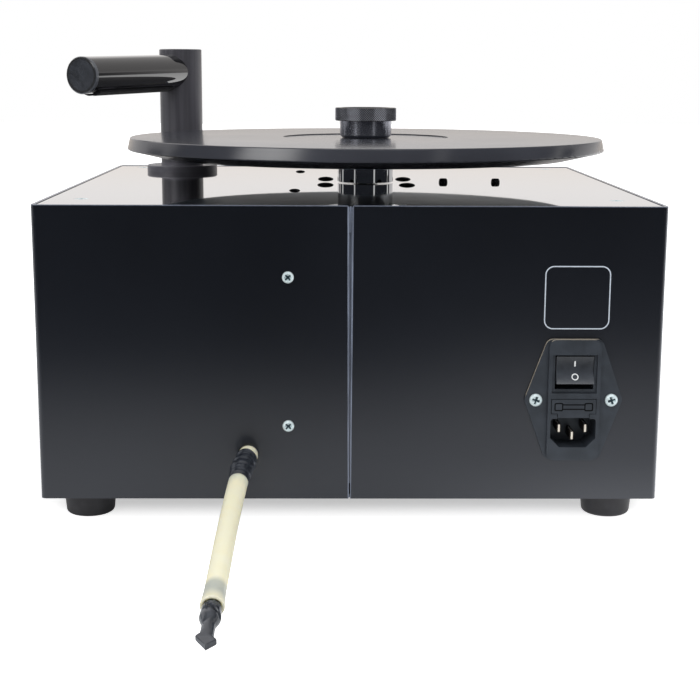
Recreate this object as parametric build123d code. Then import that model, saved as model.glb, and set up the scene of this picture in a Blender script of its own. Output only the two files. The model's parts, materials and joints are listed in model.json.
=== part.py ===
from build123d import *
import math
import os

# Record cleaning machine, in millimetres. +X is to the right and +Y is away from a
# person who looks at the rear panel; +Z is up and the feet stand on z = 0. The model is
# laid out about the middle of the case and moved at the end, so that the origin is the
# middle of the whole machine's box, at floor level.

# ------------------------------------------------------------------ clearances
FIT = 0.05            # radial clearance of a running shaft in its hole
LOOSE = 0.1           # radial clearance of a screw or a tube in its hole
REST_GAP = 0.2        # between a moving piece and the face it rests on
SIDE_GAP = 0.3        # beside a piece that moves in a slot

# ------------------------------------------------------------------ case
CASE_W = 330.0
CASE_D = 320.0
CASE_H = 157.0        # of the folded sheet, without the feet
WALL = 2.0
BEND_R = 3.0          # outer bend radius of the sheet
SEAM_TOP = 1.5        # width of the rear seam at its top
SEAM_BOTTOM = 0.7
SEAM_END_R = 1.5      # rounded sheet corners at the top of the seam
STRIP_W = 24.0        # strip behind the seam
STRIP_T = 1.5
STRIP_MARGIN = 6.0    # strip ends short of the plates
PLATE_T = 3.0         # top plate
PLATE_RECESS = 0.3    # how far its face lies below the sheet's edge
PLATE_GAP = 0.3       # all round between a plate and the sheet
BASE_T = 2.0

# ------------------------------------------------------------------ feet and posts
FOOT_H = 15.0
FOOT_TOP_R = 14.5
FOOT_TIP_R = 13.0
FOOT_EDGE_R = 2.5
FOOT_INSET_X = 22.0   # from the case's side to the foot's axis
FOOT_INSET_Y = 27.0
FOOT_HOLE_R = 5.0     # counterbore for the screw's head
FOOT_HOLE_H = 7.0
POST_W = 18.0
POST_MARGIN = 5.0     # post material past the outer screw, front and rear
POST_INSET_X = 19.0   # from the case's side to the post's middle
CORNER_INSET_X = 20.0
CORNER_INSET_REAR = 38.0
CORNER_INSET_FRONT = 22.0
CORNER_HEAD_R = 4.0
M4_R = 2.0
M3_R = 1.5
FOOT_SCREW_L = 24.0
CORNER_SCREW_L = 16.0
HEAD_H = 2.4          # height of a pan head

# ------------------------------------------------------------------ platter and its drive
PLATTER_X = 11.5
PLATTER_Y = 6.0
PLATTER_LIFT = 28.0   # platter's top face above the edge of the case
PLATTER_R = 146.0
PLATTER_FLARE = 1.7   # the rim grows by this much towards its lower edge
RIM_H = 7.3
RIM_EDGE_R = 0.8
TIER_R = 127.0        # flat middle of the underside, inside its slope
TIER_H = 4.7
LABEL_R = 51.5
LABEL_DEPTH = 0.6
HUB_R = 17.4
HUB_LIFT = 0.6        # running gap over the top plate
HUB_FLANGE_R = 30.0
HUB_FLANGE_T = 4.0
HUB_SCREW_CIRCLE_R = 24.0
HUB_SCREW_IN = 4.0    # of the hub's screws in the platter
HUB_SCREW_HOLE = 4.5
SPINDLE_R = 3.55
SPINDLE_TOP = 14.6    # above the platter's face
SPINDLE_DEPTH = 6.0   # threaded into the hub
SHAFT_R = 6.0
SHAFT_WEB = 2.0       # hub metal between the shaft and the spindle
GEAR_MODULE = 1.0
GEAR_TEETH = 48
PINION_TEETH = 12
GEAR_T = 10.0
GEAR_ADDENDUM = 0.75
GEAR_DEDENDUM = 1.15
GEAR_BACKLASH = 0.12
PRESSURE_ANGLE = 20.0
BOX_WALL = 6.0
BOX_ROOF = 6.0
BOX_DEPTH = 20.0      # inner height of the gearbox
BOX_COVER_T = 4.0
BOX_W = 66.0
MOTOR_SCREW_PITCH = 50.0
MOTOR_SCREW_HEAD_R = 5.0
MOTOR_SCREW_HEAD_H = 1.5
MOTOR_SCREW_L = 8.0
MOTOR_R = 28.0
MOTOR_H = 58.0
ROTOR_R = 3.0
ROTOR_DEPTH = 20.0    # of its shaft in the motor

# ------------------------------------------------------------------ record clamp
CLAMP_FOOT_R = 16.1
CLAMP_FOOT_H = 10.3
CLAMP_KNOB_R = 19.1
CLAMP_KNOB_H = 7.9
CLAMP_SPIGOT_R = 10.0
CLAMP_SPIGOT_H = 3.0
CLAMP_CHAMFER = 1.6

# ------------------------------------------------------------------ column and suction arm
COLUMN_INSET_X = 50.6  # from the case's left side to the column's axis
COLUMN_TO_PLATTER = 2.38  # between the column and the platter's rim
COLUMN_R = 14.5
COLUMN_WALL = 2.0
COLUMN_LIFT = 82.7    # column's top above the edge of the case
COLUMN_CAP_T = 3.0
COLUMN_BELOW = 36.0   # column below the edge of the case when it is up
STOP_R = 16.3         # rim at the column's foot that meets the bush
STOP_H = 3.0
COLLAR_R = 24.3
COLLAR_H = 4.1
COLLAR_SPIGOT_R = 18.5
BUSH_R = 16.5
BUSH_LIP_R = 18.0
BUSH_LIP_H = 1.5
BUSH_FOOT = 22.0      # lower end of bush and spigot, below the plate's underside
WELL_R = 21.0
WELL_RIM_R = 22.4
WELL_RIM_T = 4.0
WELL_FLOOR_T = 3.0
WELL_BORE_IN = 6.0    # suction bore past the well's wall
LIFT_TRAVEL = 22.5
SPRING_R = 12.0
SPRING_WIRE_R = 0.9
SPRING_TURNS = 7
SPRING_SOLID = 33.5   # spring length with the arm down
ARM_LIFT = 67.6       # arm axis above the edge of the case, at the column
ARM_R = 11.6
ARM_WALL = 1.75
ARM_REACH = 112.5     # column axis to the face of the end cap
ARM_ANGLE = 27.5      # arm turned from straight back towards the left
ARM_DROOP = 1.4       # degrees by which the arm falls towards its end
ARM_CAP_T = 3.0
CAP_PLUG_L = 6.0      # plug of an end cap in its tube
SLOT_W = 3.0
SLOT_START = 19.0     # along the arm, from the column axis
SLOT_END = 103.0
STRIP_PILE = 1.5      # velvet thickness
STRIP_IN = 8.0        # degrees from the arm's lowest line
STRIP_OUT = 34.0

# ------------------------------------------------------------------ suction, tank and fan
NIPPLE_WALL = 2.0
TUBE_WALL = 2.0
SUCTION_R = 10.0      # bore of the suction path
SUCTION_DROP = 74.0   # its axis below the edge of the case
TANK_TO_POST = 3.0
TANK_TO_REAR = 10.0
TANK_TO_COLUMN = 62.0  # from the tank's front wall to the column's axis
TANK_H = 113.0
TANK_WALL = 3.0
TANK_FLOOR = 16.0     # underside of the tank's floor above the base plate
LID_T = 4.0
LID_LIP = 5.0
NIPPLE_L = 14.0
DUCT_R = 12.0         # bore of the air duct
FAN_TO_REAR = 100.0   # from the rear panel to the fan's axis
FAN_TO_SIDE = 13.0    # from the end of the fan's motor to the case's side
FAN_R = 56.0
FAN_L = 36.0
FAN_WALL = 3.0
FAN_CLEAR = 5.0       # axial room each side of the impeller
IMPELLER_R = 50.0
IMPELLER_EYE_R = 16.0
IMPELLER_DISC_T = 1.5
BLADES = 9
BLADE_T = 1.5
BLADE_SWEEP = 35.0
FAN_SHAFT_R = 4.0
FAN_MOTOR_R = 42.0
FAN_MOTOR_L = 62.0
EXHAUST_HOLES = 12
EXHAUST_R = 4.0
RUBBER_T = 3.0
RUBBER_W = 20.0
CRADLE_W = 16.0
CRADLE_HALF = 50.0
CRADLE_H = 30.0
VENT_SLOTS = 9
VENT_PITCH = 8.0
VENT_W = 3.0
VENT_L = 70.0

# ------------------------------------------------------------------ small things on the plate
RAIL_TO_BOX = 2.8     # between the rail and the gearbox
RAIL_Y0 = -62.4       # rear screw of the rail
RAIL_Y1 = 99.7
RAIL_W = 14.0
RAIL_H = 12.0
RAIL_T = 1.5
RAIL_OVERHANG = 12.0
RAIL_HEAD_R = 3.2
RAIL_HEAD_H = 1.1
TERMINAL_TO_BOX = 7.7
TERMINAL_Y = 6.6
TERMINAL_PITCH = 33.0
TERMINAL_W = 50.0
TERMINAL_D = 20.0
TERMINAL_H = 16.0
TERMINAL_HEAD_R = 2.8
TERMINAL_HEAD_H = 2.6
TERMINAL_WAYS = 5

# ------------------------------------------------------------------ tank bracket
BRACKET_TO_STRIP = 13.0
BRACKET_Z0 = 55.2
BRACKET_PITCH = 79.5
BRACKET_W = 15.0
BRACKET_T = 2.0
BRACKET_ARM = 44.0
BRACKET_MARGIN = 9.0
ZINC_HEAD_R = 3.1
ZINC_HEAD_H = 2.0

# ------------------------------------------------------------------ mains inlet
INLET_INSET_X = 46.8  # from the case's side to the inlet's middle
INLET_Z = 70.0
INLET_H = 65.0
INLET_WAIST = 52.0
INLET_END_W = 28.6
INLET_FLANGE_T = 2.0
INLET_BLOCK_W = 27.5
INLET_BLOCK_OUT = 4.0  # face of the block in front of the panel
INLET_BLOCK_R = 4.0
INLET_BODY_H = 58.0
INLET_BODY_DEPTH = 26.0
INLET_SCREW_PITCH = 40.0
INLET_HEAD_R = 3.4
SWITCH_BEZEL_W = 23.6
SWITCH_BEZEL_Z0 = 73.9
SWITCH_BEZEL_Z1 = 94.4
SWITCH_BEZEL_DEPTH = 1.5
ROCKER_W = 19.6
ROCKER_Z = 85.0       # pivot height
ROCKER_PIVOT_IN = 3.0  # pivot behind the panel's face
ROCKER_HALF = 7.2
ROCKER_MID = 6.0      # face above the pivot, at the fold and at the ends
ROCKER_END = 8.2
ROCKER_TILT = 11.0
ROCKER_PIN_R = 1.5
ROCKER_PIN_L = 1.2
ROCKER_HOLE_HALF = 9.1
DRAWER_W = 24.0
DRAWER_Z0 = 62.7
DRAWER_Z1 = 70.9
DRAWER_DEPTH = 24.0
DRAWER_TAB_W = 16.6
DRAWER_TAB_T = 2.0
DRAWER_TAB_DROP = 2.3
FUSE_R = 2.5
FUSE_L = 20.0
SOCKET_W = 24.0
SOCKET_Z0 = 44.6
SOCKET_Z1 = 60.1
SOCKET_DEPTH = 16.5
SOCKET_CHAMFER = 5.0
SOCKET_TOP_R = 1.5
PIN_PITCH = 14.0
PIN_T = 2.0
PIN_H = 4.0
PIN_LINE_Z = 54.3
PIN_EARTH_Z = 50.3
PIN_RECESS = 3.0      # pin ends below the block's face
PIN_TAB = 8.0         # soldering tab behind the inlet

# ------------------------------------------------------------------ front toggle switches
TOGGLE_Z = 122.0
TOGGLE_INSET_X = 50.0  # from the case's side to the pump switch
TOGGLE_PITCH = 35.0
TOGGLE_BODY = 13.0
TOGGLE_DEPTH = 18.0
TOGGLE_BUSH_R = 5.9
TOGGLE_BUSH_OUT = 7.0
TOGGLE_BORE_R = 4.0
TOGGLE_PIVOT_IN = 4.5  # ball's middle behind the bush's end
TOGGLE_BALL_R = 3.7
TOGGLE_STEM_R = 1.7
TOGGLE_TIP_R = 2.8
TOGGLE_LEVER_L = 18.0
TOGGLE_TILT = 12.5
NUT_R = 8.0
NUT_T = 2.5

# ------------------------------------------------------------------ drain hose, sleeve, plug
# points in the case's frame: the stub leaves the tank, bends in the sleeve and the hose
# slopes down to the floor behind the machine
STUB_R = 5.2
STUB_ROUTE = [(-53.8, -151.0, 39.6), (-54.0, -163.0, 38.8)]
SLEEVE_R = 5.4
SLEEVE_RUN = 13.5     # from the sleeve's bend to the hose
HOSE_R = 5.0
HOSE_WALL = 1.5
HOSE_ROUTE = [(-57.0, -196.3, 34.9), (-58.6, -226.2, 29.2), (-60.2, -264.6, 20.4), (-61.8, -303.0, 9.8)]
PLUG_SHANK = 14.0     # inside the hose
PLUG_HEAD_R = 4.2
PLUG_BULGE_R = 4.9
PLUG_HEAD_L = 10.0
PLUG_NECK_R = 3.1
PLUG_L = 28.4
PLUG_TAIL_L = 8.4     # sides of the flat tail
PLUG_TAIL_W = 6.0
PLUG_TAIL_T = 3.2
PLUG_TAIL_TURN = 50.0  # its long side from straight across the plug

# ------------------------------------------------------------------ levels and places
REAR = -CASE_D / 2
FRONT = CASE_D / 2
LEFT = -CASE_W / 2
RIGHT = CASE_W / 2
Z_CASE = FOOT_H
Z_RIM = FOOT_H + CASE_H
Z_PLATE = Z_RIM - PLATE_RECESS
Z_UNDER = Z_PLATE - PLATE_T
Z_BASE = Z_CASE + BASE_T
Z_RECORD = Z_RIM + PLATTER_LIFT
Z_TIER = Z_RECORD - RIM_H - TIER_H
Z_HUB = Z_PLATE + HUB_LIFT
Z_COLLAR = Z_PLATE + COLLAR_H
Z_BUSH_FOOT = Z_UNDER - BUSH_FOOT
Z_COLUMN_TOP = Z_RIM + COLUMN_LIFT
Z_COLUMN_FOOT = Z_BUSH_FOOT - REST_GAP - STOP_H
Z_WELL = Z_COLUMN_FOOT - LIFT_TRAVEL - SPRING_SOLID
Z_ARM = Z_RIM + ARM_LIFT
Z_SUCTION = Z_RIM - SUCTION_DROP
Z_TANK = Z_BASE + TANK_H
Z_FAN = Z_BASE + FAN_R + RUBBER_T + 1.0
Z_BOX = Z_UNDER - BOX_ROOF - BOX_DEPTH
PINION_DISTANCE = GEAR_MODULE * (GEAR_TEETH + PINION_TEETH) / 2
PINION_Y = PLATTER_Y + PINION_DISTANCE
COLUMN_X = LEFT + COLUMN_INSET_X
COLUMN_REACH = PLATTER_R + PLATTER_FLARE + COLUMN_TO_PLATTER + COLUMN_R
COLUMN_Y = PLATTER_Y + math.sqrt(COLUMN_REACH**2 - (PLATTER_X - COLUMN_X) ** 2)
BRACKET_X = -STRIP_W / 2 - BRACKET_TO_STRIP - BRACKET_W / 2
TANK_X0 = LEFT + POST_INSET_X + POST_W / 2 + TANK_TO_POST
TANK_X1 = BRACKET_X - BRACKET_W / 2 - BRACKET_T
TANK_Y0 = REAR + TANK_TO_REAR
TANK_Y1 = COLUMN_Y - TANK_TO_COLUMN
FAN_X0 = RIGHT - WALL - FAN_TO_SIDE - FAN_MOTOR_L - FAN_L  # face of the fan cover
FAN_Y = REAR + FAN_TO_REAR
RAIL_X = PLATTER_X - BOX_W / 2 - RAIL_TO_BOX - RAIL_W / 2
TERMINAL_X = PLATTER_X + BOX_W / 2 + TERMINAL_TO_BOX + TERMINAL_W / 2
INLET_X = RIGHT - INLET_INSET_X
PUMP_X = RIGHT - TOGGLE_INSET_X
DIRECTION_X = PUMP_X - TOGGLE_PITCH
BLOCK_FACE = REAR - INLET_BLOCK_OUT
ROCKER_Y = REAR + ROCKER_PIVOT_IN


# ------------------------------------------------------------------ shared shapes
def block(x0, x1, y0, y1, z0, z1):
    """Box between two corners."""
    return Pos((x0 + x1) / 2, (y0 + y1) / 2, (z0 + z1) / 2) * Box(x1 - x0, y1 - y0, z1 - z0)


def upright(radius, z0, z1, x=0.0, y=0.0):
    """Cylinder along Z."""
    return Pos(x, y, (z0 + z1) / 2) * Cylinder(radius, z1 - z0)


def lengthwise(radius, y0, y1, x, z):
    """Cylinder along Y."""
    return Pos(x, (y0 + y1) / 2, z) * Rot(90, 0, 0) * Cylinder(radius, y1 - y0)


def crosswise(radius, x0, x1, y, z):
    """Cylinder along X."""
    return Pos((x0 + x1) / 2, y, z) * Rot(0, 90, 0) * Cylinder(radius, x1 - x0)


def turned(*profile):
    """Solid of revolution about Z from (radius, height) points."""
    return revolve(Plane.XZ * Polygon(*profile, align=None), Axis.Z)


def cross_recess(radius, depth, z):
    """Cross-shaped driver recess, cut down from height z."""
    arm = 0.3 * radius
    bar = Box(1.2 * radius, arm, 2 * depth)
    return Pos(0, 0, z) * (bar + Rot(0, 0, 90) * bar)


def pan_screw(head_r, head_h, shank_r, length):
    """Pan head above z = 0 with a cross recess, shank below it."""
    head = turned((0, 0), (head_r, 0), (head_r, 0.45 * head_h), (0.72 * head_r, 0.9 * head_h), (0, head_h))
    return head + upright(shank_r, -length, 0) - cross_recess(head_r, 0.5 * head_h, head_h)


def disc_screw(head_r, head_h, shank_r, length):
    """Low flat round head above z = 0 with a hexagon socket."""
    head = turned((0, 0), (head_r, 0), (head_r, 0.6 * head_h), (0.86 * head_r, head_h), (0, head_h))
    socket = extrude(Pos(0, 0, 0.4 * head_h) * RegularPolygon(0.36 * head_r, 6), head_h)
    return head + upright(shank_r, -length, 0) - socket


def flat_screw(head_r, shank_r, length):
    """Countersunk head that ends flush with z = 0."""
    cone_h = head_r - shank_r
    body = turned((0, 0), (head_r, 0), (shank_r, -cone_h), (shank_r, -length), (0, -length))
    return body - cross_recess(head_r, 0.7 * cone_h, 0)


def unit(vector):
    return vector * (1.0 / vector.length)


def tube_along(points, outer_r, inner_r):
    """Tube along straight runs joined by the largest arcs that the runs allow."""
    points = [Vector(*p) for p in points]
    radii = []
    for before, here, after in zip(points, points[1:], points[2:]):
        turn = math.radians((here - before).get_angle(after - here))
        shorter = min((here - before).length, (after - here).length)
        radii.append(0.45 * shorter / math.tan(turn / 2))
    path = FilletPolyline(*points, radius=radii)
    section = Plane(origin=points[0], z_dir=points[1] - points[0]) * (Circle(outer_r) - Circle(inner_r))
    return sweep(section, path=path), radii, path.length


def corner_places(inset_x, inset_rear, inset_front):
    """The four corners of the case, each moved in by its inset."""
    x = CASE_W / 2 - inset_x
    return [(sx * x, y) for sx in (-1, 1) for y in (REAR + inset_rear, FRONT - inset_front)]


def foot_places():
    return corner_places(FOOT_INSET_X, FOOT_INSET_Y, FOOT_INSET_Y)


def corner_screw_places():
    return corner_places(CORNER_INSET_X, CORNER_INSET_REAR, CORNER_INSET_FRONT)


def motor_screw_places():
    half = MOTOR_SCREW_PITCH / 2
    return [(PLATTER_X + sx * half, PLATTER_Y + sy * half) for sx in (-1, 1) for sy in (-1, 1)]


def rail_screw_places():
    return [(RAIL_X, RAIL_Y0), (RAIL_X, RAIL_Y1)]


def terminal_screw_places():
    return [(TERMINAL_X + side * TERMINAL_PITCH / 2, TERMINAL_Y) for side in (-1, 1)]


def bracket_heights():
    return [BRACKET_Z0, BRACKET_Z0 + BRACKET_PITCH]


# ------------------------------------------------------------------ case
def case_wrap():
    outer = RectangleRounded(CASE_W, CASE_D, BEND_R)
    inner = RectangleRounded(CASE_W - 2 * WALL, CASE_D - 2 * WALL, BEND_R - WALL)
    wrap = extrude(Pos(0, 0, Z_CASE) * (outer - inner), CASE_H)
    seam = Polygon(
        (-SEAM_BOTTOM / 2, 0), (SEAM_BOTTOM / 2, 0), (SEAM_TOP / 2, CASE_H), (-SEAM_TOP / 2, CASE_H), align=None
    )
    wrap -= extrude(Plane(origin=(0, REAR, Z_CASE), x_dir=(1, 0, 0), z_dir=(0, -1, 0)) * seam, 2 * WALL, both=True)
    ends = [
        edge
        for edge in wrap.edges().filter_by(Axis.Y)
        if edge.center().Z > Z_RIM - WALL and abs(edge.center().X) < SEAM_TOP
    ]
    wrap = fillet(ends, SEAM_END_R)
    wrap -= inlet_cutout()
    wrap -= lengthwise(STUB_R + 2 * LOOSE, REAR - WALL, REAR + 2 * WALL, stub_exit().X, stub_exit().Z)
    for z in bracket_heights():
        wrap -= lengthwise(M3_R + LOOSE, REAR - WALL, REAR + 2 * WALL, BRACKET_X, z)
    for side in (-1, 1):
        x = INLET_X + side * INLET_SCREW_PITCH / 2
        wrap -= lengthwise(M3_R + LOOSE, REAR - WALL, REAR + 2 * WALL, x, INLET_Z)
    for x in (DIRECTION_X, PUMP_X):
        wrap -= lengthwise(TOGGLE_BUSH_R + LOOSE, FRONT - 2 * WALL, FRONT + WALL, x, TOGGLE_Z)
    return wrap


def inlet_cutout():
    half_w = INLET_BLOCK_W / 2 + LOOSE
    half_h = INLET_BODY_H / 2 + LOOSE
    return block(
        INLET_X - half_w, INLET_X + half_w, REAR - WALL, REAR + 2 * WALL, INLET_Z - half_h, INLET_Z + half_h
    )


def stub_exit():
    """Where the drain stub's axis crosses the rear panel."""
    start, end = [Vector(*p) for p in STUB_ROUTE]
    return start + (end - start) * ((REAR - start.Y) / (end.Y - start.Y))


def seam_strip():
    inside = REAR + WALL
    return block(
        -STRIP_W / 2, STRIP_W / 2, inside, inside + STRIP_T, Z_BASE + STRIP_MARGIN, Z_UNDER - STRIP_MARGIN
    )


def plate_outline():
    shrink = 2 * (WALL + PLATE_GAP)
    return RectangleRounded(CASE_W - shrink, CASE_D - shrink, BEND_R - WALL)


def top_plate():
    plate = extrude(Pos(0, 0, Z_UNDER) * plate_outline(), PLATE_T)
    plate -= upright(COLLAR_SPIGOT_R + LOOSE, Z_UNDER, Z_PLATE, COLUMN_X, COLUMN_Y)
    plate -= upright(SHAFT_R + 2.0, Z_UNDER, Z_PLATE, PLATTER_X, PLATTER_Y)
    for x, y in corner_screw_places():
        plate -= Pos(x, y, Z_PLATE) * turned(
            (0, 0), (CORNER_HEAD_R, 0), (M4_R + LOOSE, -CORNER_HEAD_R + M4_R), (M4_R + LOOSE, -PLATE_T), (0, -PLATE_T)
        )
    for x, y in motor_screw_places():
        plate -= upright(M4_R + LOOSE, Z_UNDER, Z_PLATE, x, y)
    for x, y in rail_screw_places() + terminal_screw_places():
        plate -= upright(M3_R + LOOSE, Z_UNDER, Z_PLATE, x, y)
    return plate


def base_plate():
    plate = extrude(Pos(0, 0, Z_CASE) * plate_outline(), BASE_T)
    for x, y in foot_places():
        plate -= upright(M4_R + LOOSE, Z_CASE, Z_BASE, x, y)
    middle = FAN_X0 + FAN_L + FAN_MOTOR_L / 2
    slot = SlotOverall(VENT_L, VENT_W)
    for i in range(VENT_SLOTS):
        x = middle + (i - (VENT_SLOTS - 1) / 2) * VENT_PITCH
        plate -= extrude(Pos(x, FAN_Y, Z_CASE) * Rot(0, 0, 90) * slot, BASE_T)
    return plate


def corner_posts():
    posts = []
    for (foot_x, foot_y), (screw_x, screw_y) in zip(foot_places(), corner_screw_places()):
        x = math.copysign(CASE_W / 2 - POST_INSET_X, foot_x)
        y0 = min(foot_y, screw_y) - POST_MARGIN
        y1 = max(foot_y, screw_y) + POST_MARGIN
        post = block(x - POST_W / 2, x + POST_W / 2, y0, y1, Z_BASE, Z_UNDER)
        post -= upright(M4_R + LOOSE, Z_BASE, Z_CASE + FOOT_SCREW_L, foot_x, foot_y)
        post -= upright(M4_R + LOOSE, Z_PLATE - CORNER_SCREW_L - 1, Z_UNDER, screw_x, screw_y)
        posts.append(post)
    return posts


def corner_screws():
    screw = flat_screw(CORNER_HEAD_R - LOOSE, M4_R, CORNER_SCREW_L)
    return [Pos(x, y, Z_PLATE) * screw for x, y in corner_screw_places()]


def feet():
    profile = Polygon((0, 0), (FOOT_TIP_R, 0), (FOOT_TOP_R, FOOT_H), (0, FOOT_H), align=None)
    profile = fillet(profile.vertices().sort_by(Axis.Y)[:2].sort_by(Axis.X)[-1], FOOT_EDGE_R)
    foot = revolve(Plane.XZ * profile, Axis.Z)
    foot -= upright(FOOT_HOLE_R, 0, FOOT_HOLE_H)
    foot -= upright(M4_R + LOOSE, 0, FOOT_H)
    return [Pos(x, y, 0) * foot for x, y in foot_places()]


def foot_screws():
    screw = Rot(180, 0, 0) * pan_screw(FOOT_HOLE_R - 1.0, HEAD_H, M4_R, FOOT_SCREW_L)
    return [Pos(x, y, FOOT_HOLE_H) * screw for x, y in foot_places()]


# ------------------------------------------------------------------ under the top plate
def plate_rail():
    y0 = RAIL_Y0 - RAIL_OVERHANG
    y1 = RAIL_Y1 + RAIL_OVERHANG
    rail = block(RAIL_X - RAIL_W / 2, RAIL_X + RAIL_W / 2, y0, y1, Z_UNDER - RAIL_H, Z_UNDER)
    inner = RAIL_W / 2 - RAIL_T
    rail -= block(RAIL_X - inner, RAIL_X + inner, y0, y1, Z_UNDER - RAIL_H, Z_UNDER - RAIL_T)
    for x, y in rail_screw_places():
        rail -= upright(M3_R + LOOSE, Z_UNDER - RAIL_T, Z_UNDER, x, y)
    return rail


def terminal_block():
    half_w = TERMINAL_W / 2
    half_d = TERMINAL_D / 2
    z0 = Z_UNDER - TERMINAL_H
    body = block(
        TERMINAL_X - half_w, TERMINAL_X + half_w, TERMINAL_Y - half_d, TERMINAL_Y + half_d, z0, Z_UNDER
    )
    for x, y in terminal_screw_places():
        body -= upright(M3_R + LOOSE, Z_UNDER - TERMINAL_H / 2, Z_UNDER, x, y)
    pitch = TERMINAL_PITCH / (TERMINAL_WAYS + 1)
    for i in range(TERMINAL_WAYS):
        x = TERMINAL_X + (i - (TERMINAL_WAYS - 1) / 2) * pitch
        body -= lengthwise(M3_R, TERMINAL_Y - half_d, TERMINAL_Y + half_d, x, z0 + TERMINAL_H / 4)
    return body


def plate_screws():
    length = PLATE_T + RAIL_T + 3.0
    rail_screw = disc_screw(RAIL_HEAD_R, RAIL_HEAD_H, M3_R, length)
    tall_screw = pan_screw(TERMINAL_HEAD_R, TERMINAL_HEAD_H, M3_R, length)
    screws = [Pos(x, y, Z_PLATE) * rail_screw for x, y in rail_screw_places()]
    return screws + [Pos(x, y, Z_PLATE) * tall_screw for x, y in terminal_screw_places()]


# ------------------------------------------------------------------ platter drive
def gear_outline(teeth):
    """Spur gear with involute flanks; below the base circle a flank is radial."""
    pitch_r = GEAR_MODULE * teeth / 2
    base_r = pitch_r * math.cos(math.radians(PRESSURE_ANGLE))
    root_r = pitch_r - GEAR_DEDENDUM * GEAR_MODULE
    tip_r = pitch_r + GEAR_ADDENDUM * GEAR_MODULE
    slope = math.radians(PRESSURE_ANGLE)
    half_pitch = (math.pi * GEAR_MODULE / 2 - GEAR_BACKLASH) / (2 * pitch_r)
    flank = [(root_r, 0.0)]
    for radius in (max(base_r, root_r + 0.1), pitch_r, (pitch_r + tip_r) / 2, tip_r):
        flank.append((radius, math.acos(min(1.0, base_r / radius))))
    half_angles = [(r, half_pitch + math.tan(slope) - slope - (math.tan(a) - a)) for r, a in flank]
    points = []
    for tooth in range(teeth):
        middle = 2 * math.pi * tooth / teeth
        for r, half in half_angles:
            points.append((r * math.cos(middle - half), r * math.sin(middle - half)))
        for r, half in reversed(half_angles):
            points.append((r * math.cos(middle + half), r * math.sin(middle + half)))
    return Polygon(*points, align=None)


def gear_level():
    """Lower face of both gears, in the middle of the gearbox."""
    return Z_BOX + (BOX_DEPTH - GEAR_T) / 2


def drive_gear():
    """Gear with a tooth gap that faces the pinion."""
    wheel = extrude(Rot(0, 0, 90 + 180 / GEAR_TEETH) * gear_outline(GEAR_TEETH), GEAR_T)
    wheel -= upright(SHAFT_R + LOOSE / 2, 0, GEAR_T)
    return Pos(PLATTER_X, PLATTER_Y, gear_level()) * wheel


def output_shaft():
    top = Z_TIER + HUB_FLANGE_T - SPINDLE_DEPTH - SHAFT_WEB
    return upright(SHAFT_R, Z_BOX - BOX_COVER_T / 2, top, PLATTER_X, PLATTER_Y)


def motor_pinion():
    """Pinion on the rotor's shaft, with a tooth that faces the drive gear."""
    pinion = extrude(Rot(0, 0, -90) * gear_outline(PINION_TEETH), GEAR_T)
    pinion = Pos(PLATTER_X, PINION_Y, gear_level()) * pinion
    shaft_foot = Z_BOX - BOX_COVER_T - ROTOR_DEPTH
    return pinion + upright(ROTOR_R, shaft_foot, Z_UNDER - BOX_ROOF - REST_GAP, PLATTER_X, PINION_Y)


def gearbox_y():
    """Front and rear faces of the gearbox."""
    gear_room = GEAR_MODULE * GEAR_TEETH / 2 + 2.0
    pinion_room = GEAR_MODULE * PINION_TEETH / 2 + 3.0
    return PLATTER_Y - gear_room - BOX_WALL, PINION_Y + pinion_room + BOX_WALL


def gearbox_housing():
    y0, y1 = gearbox_y()
    box = block(PLATTER_X - BOX_W / 2, PLATTER_X + BOX_W / 2, y0, y1, Z_BOX, Z_UNDER)
    roof = Z_UNDER - BOX_ROOF
    box -= upright(GEAR_MODULE * GEAR_TEETH / 2 + 2.0, Z_BOX, roof, PLATTER_X, PLATTER_Y)
    box -= upright(GEAR_MODULE * PINION_TEETH / 2 + 3.0, Z_BOX, roof, PLATTER_X, PINION_Y)
    box -= upright(SHAFT_R + FIT, roof, Z_UNDER, PLATTER_X, PLATTER_Y)
    for x, y in motor_screw_places():
        box -= upright(M4_R + LOOSE, Z_UNDER - MOTOR_SCREW_L, Z_UNDER, x, y)
    return box


def gearbox_cover():
    y0, y1 = gearbox_y()
    cover = block(PLATTER_X - BOX_W / 2, PLATTER_X + BOX_W / 2, y0, y1, Z_BOX - BOX_COVER_T, Z_BOX)
    cover -= upright(SHAFT_R + FIT, Z_BOX - BOX_COVER_T / 2 - REST_GAP, Z_BOX, PLATTER_X, PLATTER_Y)
    cover -= upright(ROTOR_R + FIT, Z_BOX - BOX_COVER_T, Z_BOX, PLATTER_X, PINION_Y)
    return cover


def platter_motor():
    top = Z_BOX - BOX_COVER_T
    can = upright(MOTOR_R, top - MOTOR_H, top, PLATTER_X, PINION_Y)
    can = chamfer(can.edges().filter_by(GeomType.CIRCLE).sort_by(Axis.Z)[0], 2.0)
    return can - upright(ROTOR_R + FIT, top - ROTOR_DEPTH - REST_GAP, top, PLATTER_X, PINION_Y)


def motor_screws():
    screw = disc_screw(MOTOR_SCREW_HEAD_R, MOTOR_SCREW_HEAD_H, M4_R, PLATE_T + MOTOR_SCREW_L - 1)
    return [Pos(x, y, Z_PLATE) * screw for x, y in motor_screw_places()]


def platter_hub():
    hub = upright(HUB_R, Z_HUB, Z_TIER) + upright(HUB_FLANGE_R, Z_TIER, Z_TIER + HUB_FLANGE_T)
    top = Z_TIER + HUB_FLANGE_T
    hub -= upright(SHAFT_R + LOOSE / 2, Z_HUB, top - SPINDLE_DEPTH - SHAFT_WEB)
    hub -= upright(SPINDLE_R + LOOSE / 2, top - SPINDLE_DEPTH, top)
    for x, y in hub_screw_places():
        hub -= upright(M3_R + LOOSE, Z_TIER, top, x, y)
    return Pos(PLATTER_X, PLATTER_Y, 0) * hub


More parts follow.
